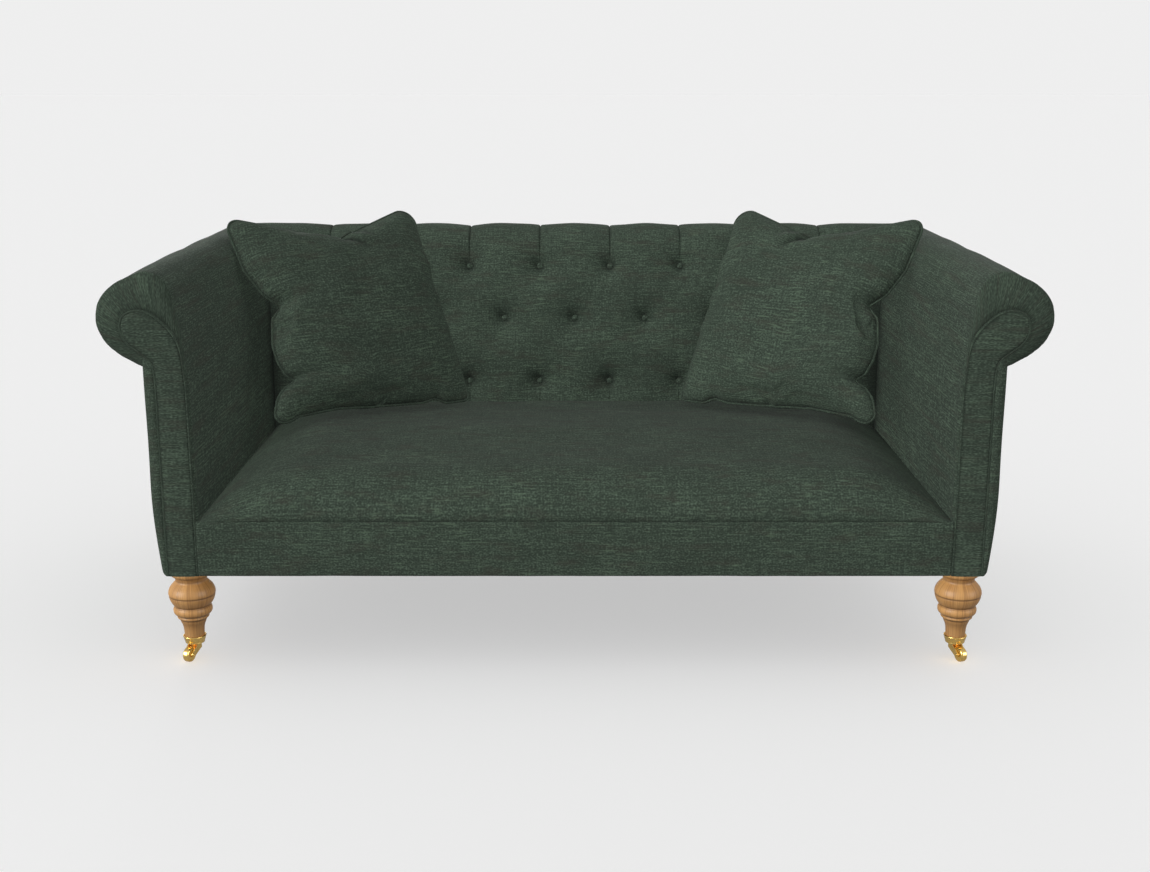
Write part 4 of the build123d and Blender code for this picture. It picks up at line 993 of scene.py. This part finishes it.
crease_and_painted_shade += 0.5 * np.exp(-(((off - 0.040) / 0.008) ** 2)) * np.clip(along / 0.02, 0, 1)
puff = puff - (puff > 0) * 0.016 * crease_and_painted_shade * in_fold
# Painted shade along the fold, and in a line just inside the piped seam.
cover_painted_shade = np.maximum(1.3 * crease_and_painted_shade * in_fold, 0) * (puff > 0)
cover_painted_shade[seam_ring] = np.maximum(cover_painted_shade[seam_ring], 0.75)
puff = puff + 0.0022 * ripple(a, b, 0.17) * np.clip((half - np.maximum(np.abs(a), np.abs(b))) / 0.05, 0, 1)

# It leans back into the corner, its foot on the seat.
cushion_center = np.array((0.488, 0.137, 0.571))
cushion_right = np.array((0.7754, -0.6311, 0.0233))
cushion_up = np.array((0.3000, 0.4044, 0.8639))
cushion_front = np.cross(cushion_right, cushion_up)
posed = cushion_center + np.stack([a, b, puff], -1) @ np.array((cushion_right, cushion_up, cushion_front))
clear = 0.0015
for again in range(2):
    seat_z = low_z + (np.interp(posed[:, 1], section[:, 0], section[:, 1]) - low_z) * seat_edge(posed[:, 0])
    posed[:, 2] = np.maximum(posed[:, 2], seat_z + clear)
    posed[:, 1] = np.minimum(posed[:, 1], back_face(np.minimum(posed[:, 2], top_z)) - clear)
    posed[:, 0] = np.minimum(posed[:, 0], arm_face(np.minimum(posed[:, 2], top_z)) - clear)
for side, way in hands:
    faces = [face[::way] for face in cover_faces]
    cloth = cover_points[:, :2] + (4.2 + way, 17.0)
    pad = skin(f"{side}_cushion", posed * (way, 1, 1), faces, linen, cloth, cover_painted_shade)
    smooth = pad.modifiers.new("fine", "SUBSURF")
    smooth.levels = smooth.render_levels = 1
    upholster(pad, f"{side}_cushion", 0.7, f"{side}_cushion_cover", f"{side}_cushion_filling")
    seam_line = posed[seam_ring] * (way, 1, 1)
    cord = tube(f"{side}_cushion_piping", seam_line, 0.0027, piping_in_painted_shade, 10, True, (8.0, 0))
    sew_on(cord, f"{side}_cushion")


# Studio: a pale seamless paper floor that runs out of sight, soft broad light from the upper left,
# and the camera at the photograph's height and angle. None of it belongs to the sofa.
def seen_by_eye(finish):
    """1 for what the camera sees, some for what metal mirrors, 0 for the light itself."""
    mirrored = finish.node("ShaderNodeLightPath", {}, {}, "Is Glossy Ray")
    return finish.node("ShaderNodeLightPath") + mirrored * 0.4


def mix_in(finish, share, other, end):
    """Blend another shader into a finish and lead the blend to its output."""
    own = Strand(finish, finish.shader.outputs[0])
    mixed = finish.node("ShaderNodeMixShader", {}, {0: share, 1: own, 2: other})
    finish.put(finish.tree.nodes[end].inputs["Surface"], mixed)


paper_shade, glow_share = 1.0, 0.1
paper = Finish("studio_paper")
paper.fill(Roughness=1.0, Specular_IOR_Level=0.0)
seen = seen_by_eye(paper)
paper.fill(Base_Color=paper.dye(seen, (0.2, 0.2, 0.2, 1), (paper_shade, paper_shade, paper_shade, 1)))
glow = paper.node("ShaderNodeEmission", {}, {"Color": (1, 1, 1, 1), "Strength": 1.0})
mix_in(paper, seen * glow_share, glow, "Material Output")
floor_size = 60.0
floor_corners = np.array([(-1, -1, 0), (1, -1, 0), (1, 1, 0), (-1, 1, 0)]) * floor_size
floor = skin("floor", floor_corners, [(0, 1, 2, 3)], paper)

# Each lamp: its strength, the way it shines, and how squarely its broad disc meets the floor.
air_light = 0.40
floor_light = air_light
lamps = (
    ("key", 2.93, (0.787, 0.517, -0.338), 0.338),
    ("fill", 1.22, (-0.834, 0.479, -0.274), 0.274),
    ("rear", 0.9, (0.12, -0.99, -0.04), 0.077),
)
for name, energy, way, on_floor in lamps:
    lamp = bpy.data.lights.new(name, "SUN")
    lamp.energy = energy
    lamp.angle = math.radians(30)
    lamp.use_shadow = name == "rear"
    stand = bpy.data.objects.new(name, lamp)
    stand.rotation_euler = Vector(way).to_track_quat("-Z", "Y").to_euler()
    bpy.context.scene.collection.objects.link(stand)
    floor_light += energy / math.pi * on_floor

# The air is plain white light. The camera and the metal see it in the floor's shade, so no horizon shows.
air = Finish("studio_air", "worlds", "Background")
air.fill(Color=(1, 1, 1, 1), Strength=air_light)
shade = paper_shade * floor_light * (1 - glow_share) + glow_share
plain = air.node("ShaderNodeBackground", {}, {"Color": (shade, shade, shade, 1)})
mix_in(air, seen_by_eye(air), plain, "World Output")
bpy.context.scene.world = air.material

looks_down = 13.82
camera = bpy.data.cameras.new("camera")
camera.sensor_width = 36.0
camera.lens = 46.96
view = bpy.data.objects.new("camera", camera)
view.location = (0.0, -3.095, 1.091)
view.rotation_euler = (math.radians(90 - looks_down), 0, 0)
bpy.context.scene.collection.objects.link(view)
bpy.context.scene.camera = view
bpy.context.scene.view_settings.view_transform = "Standard"
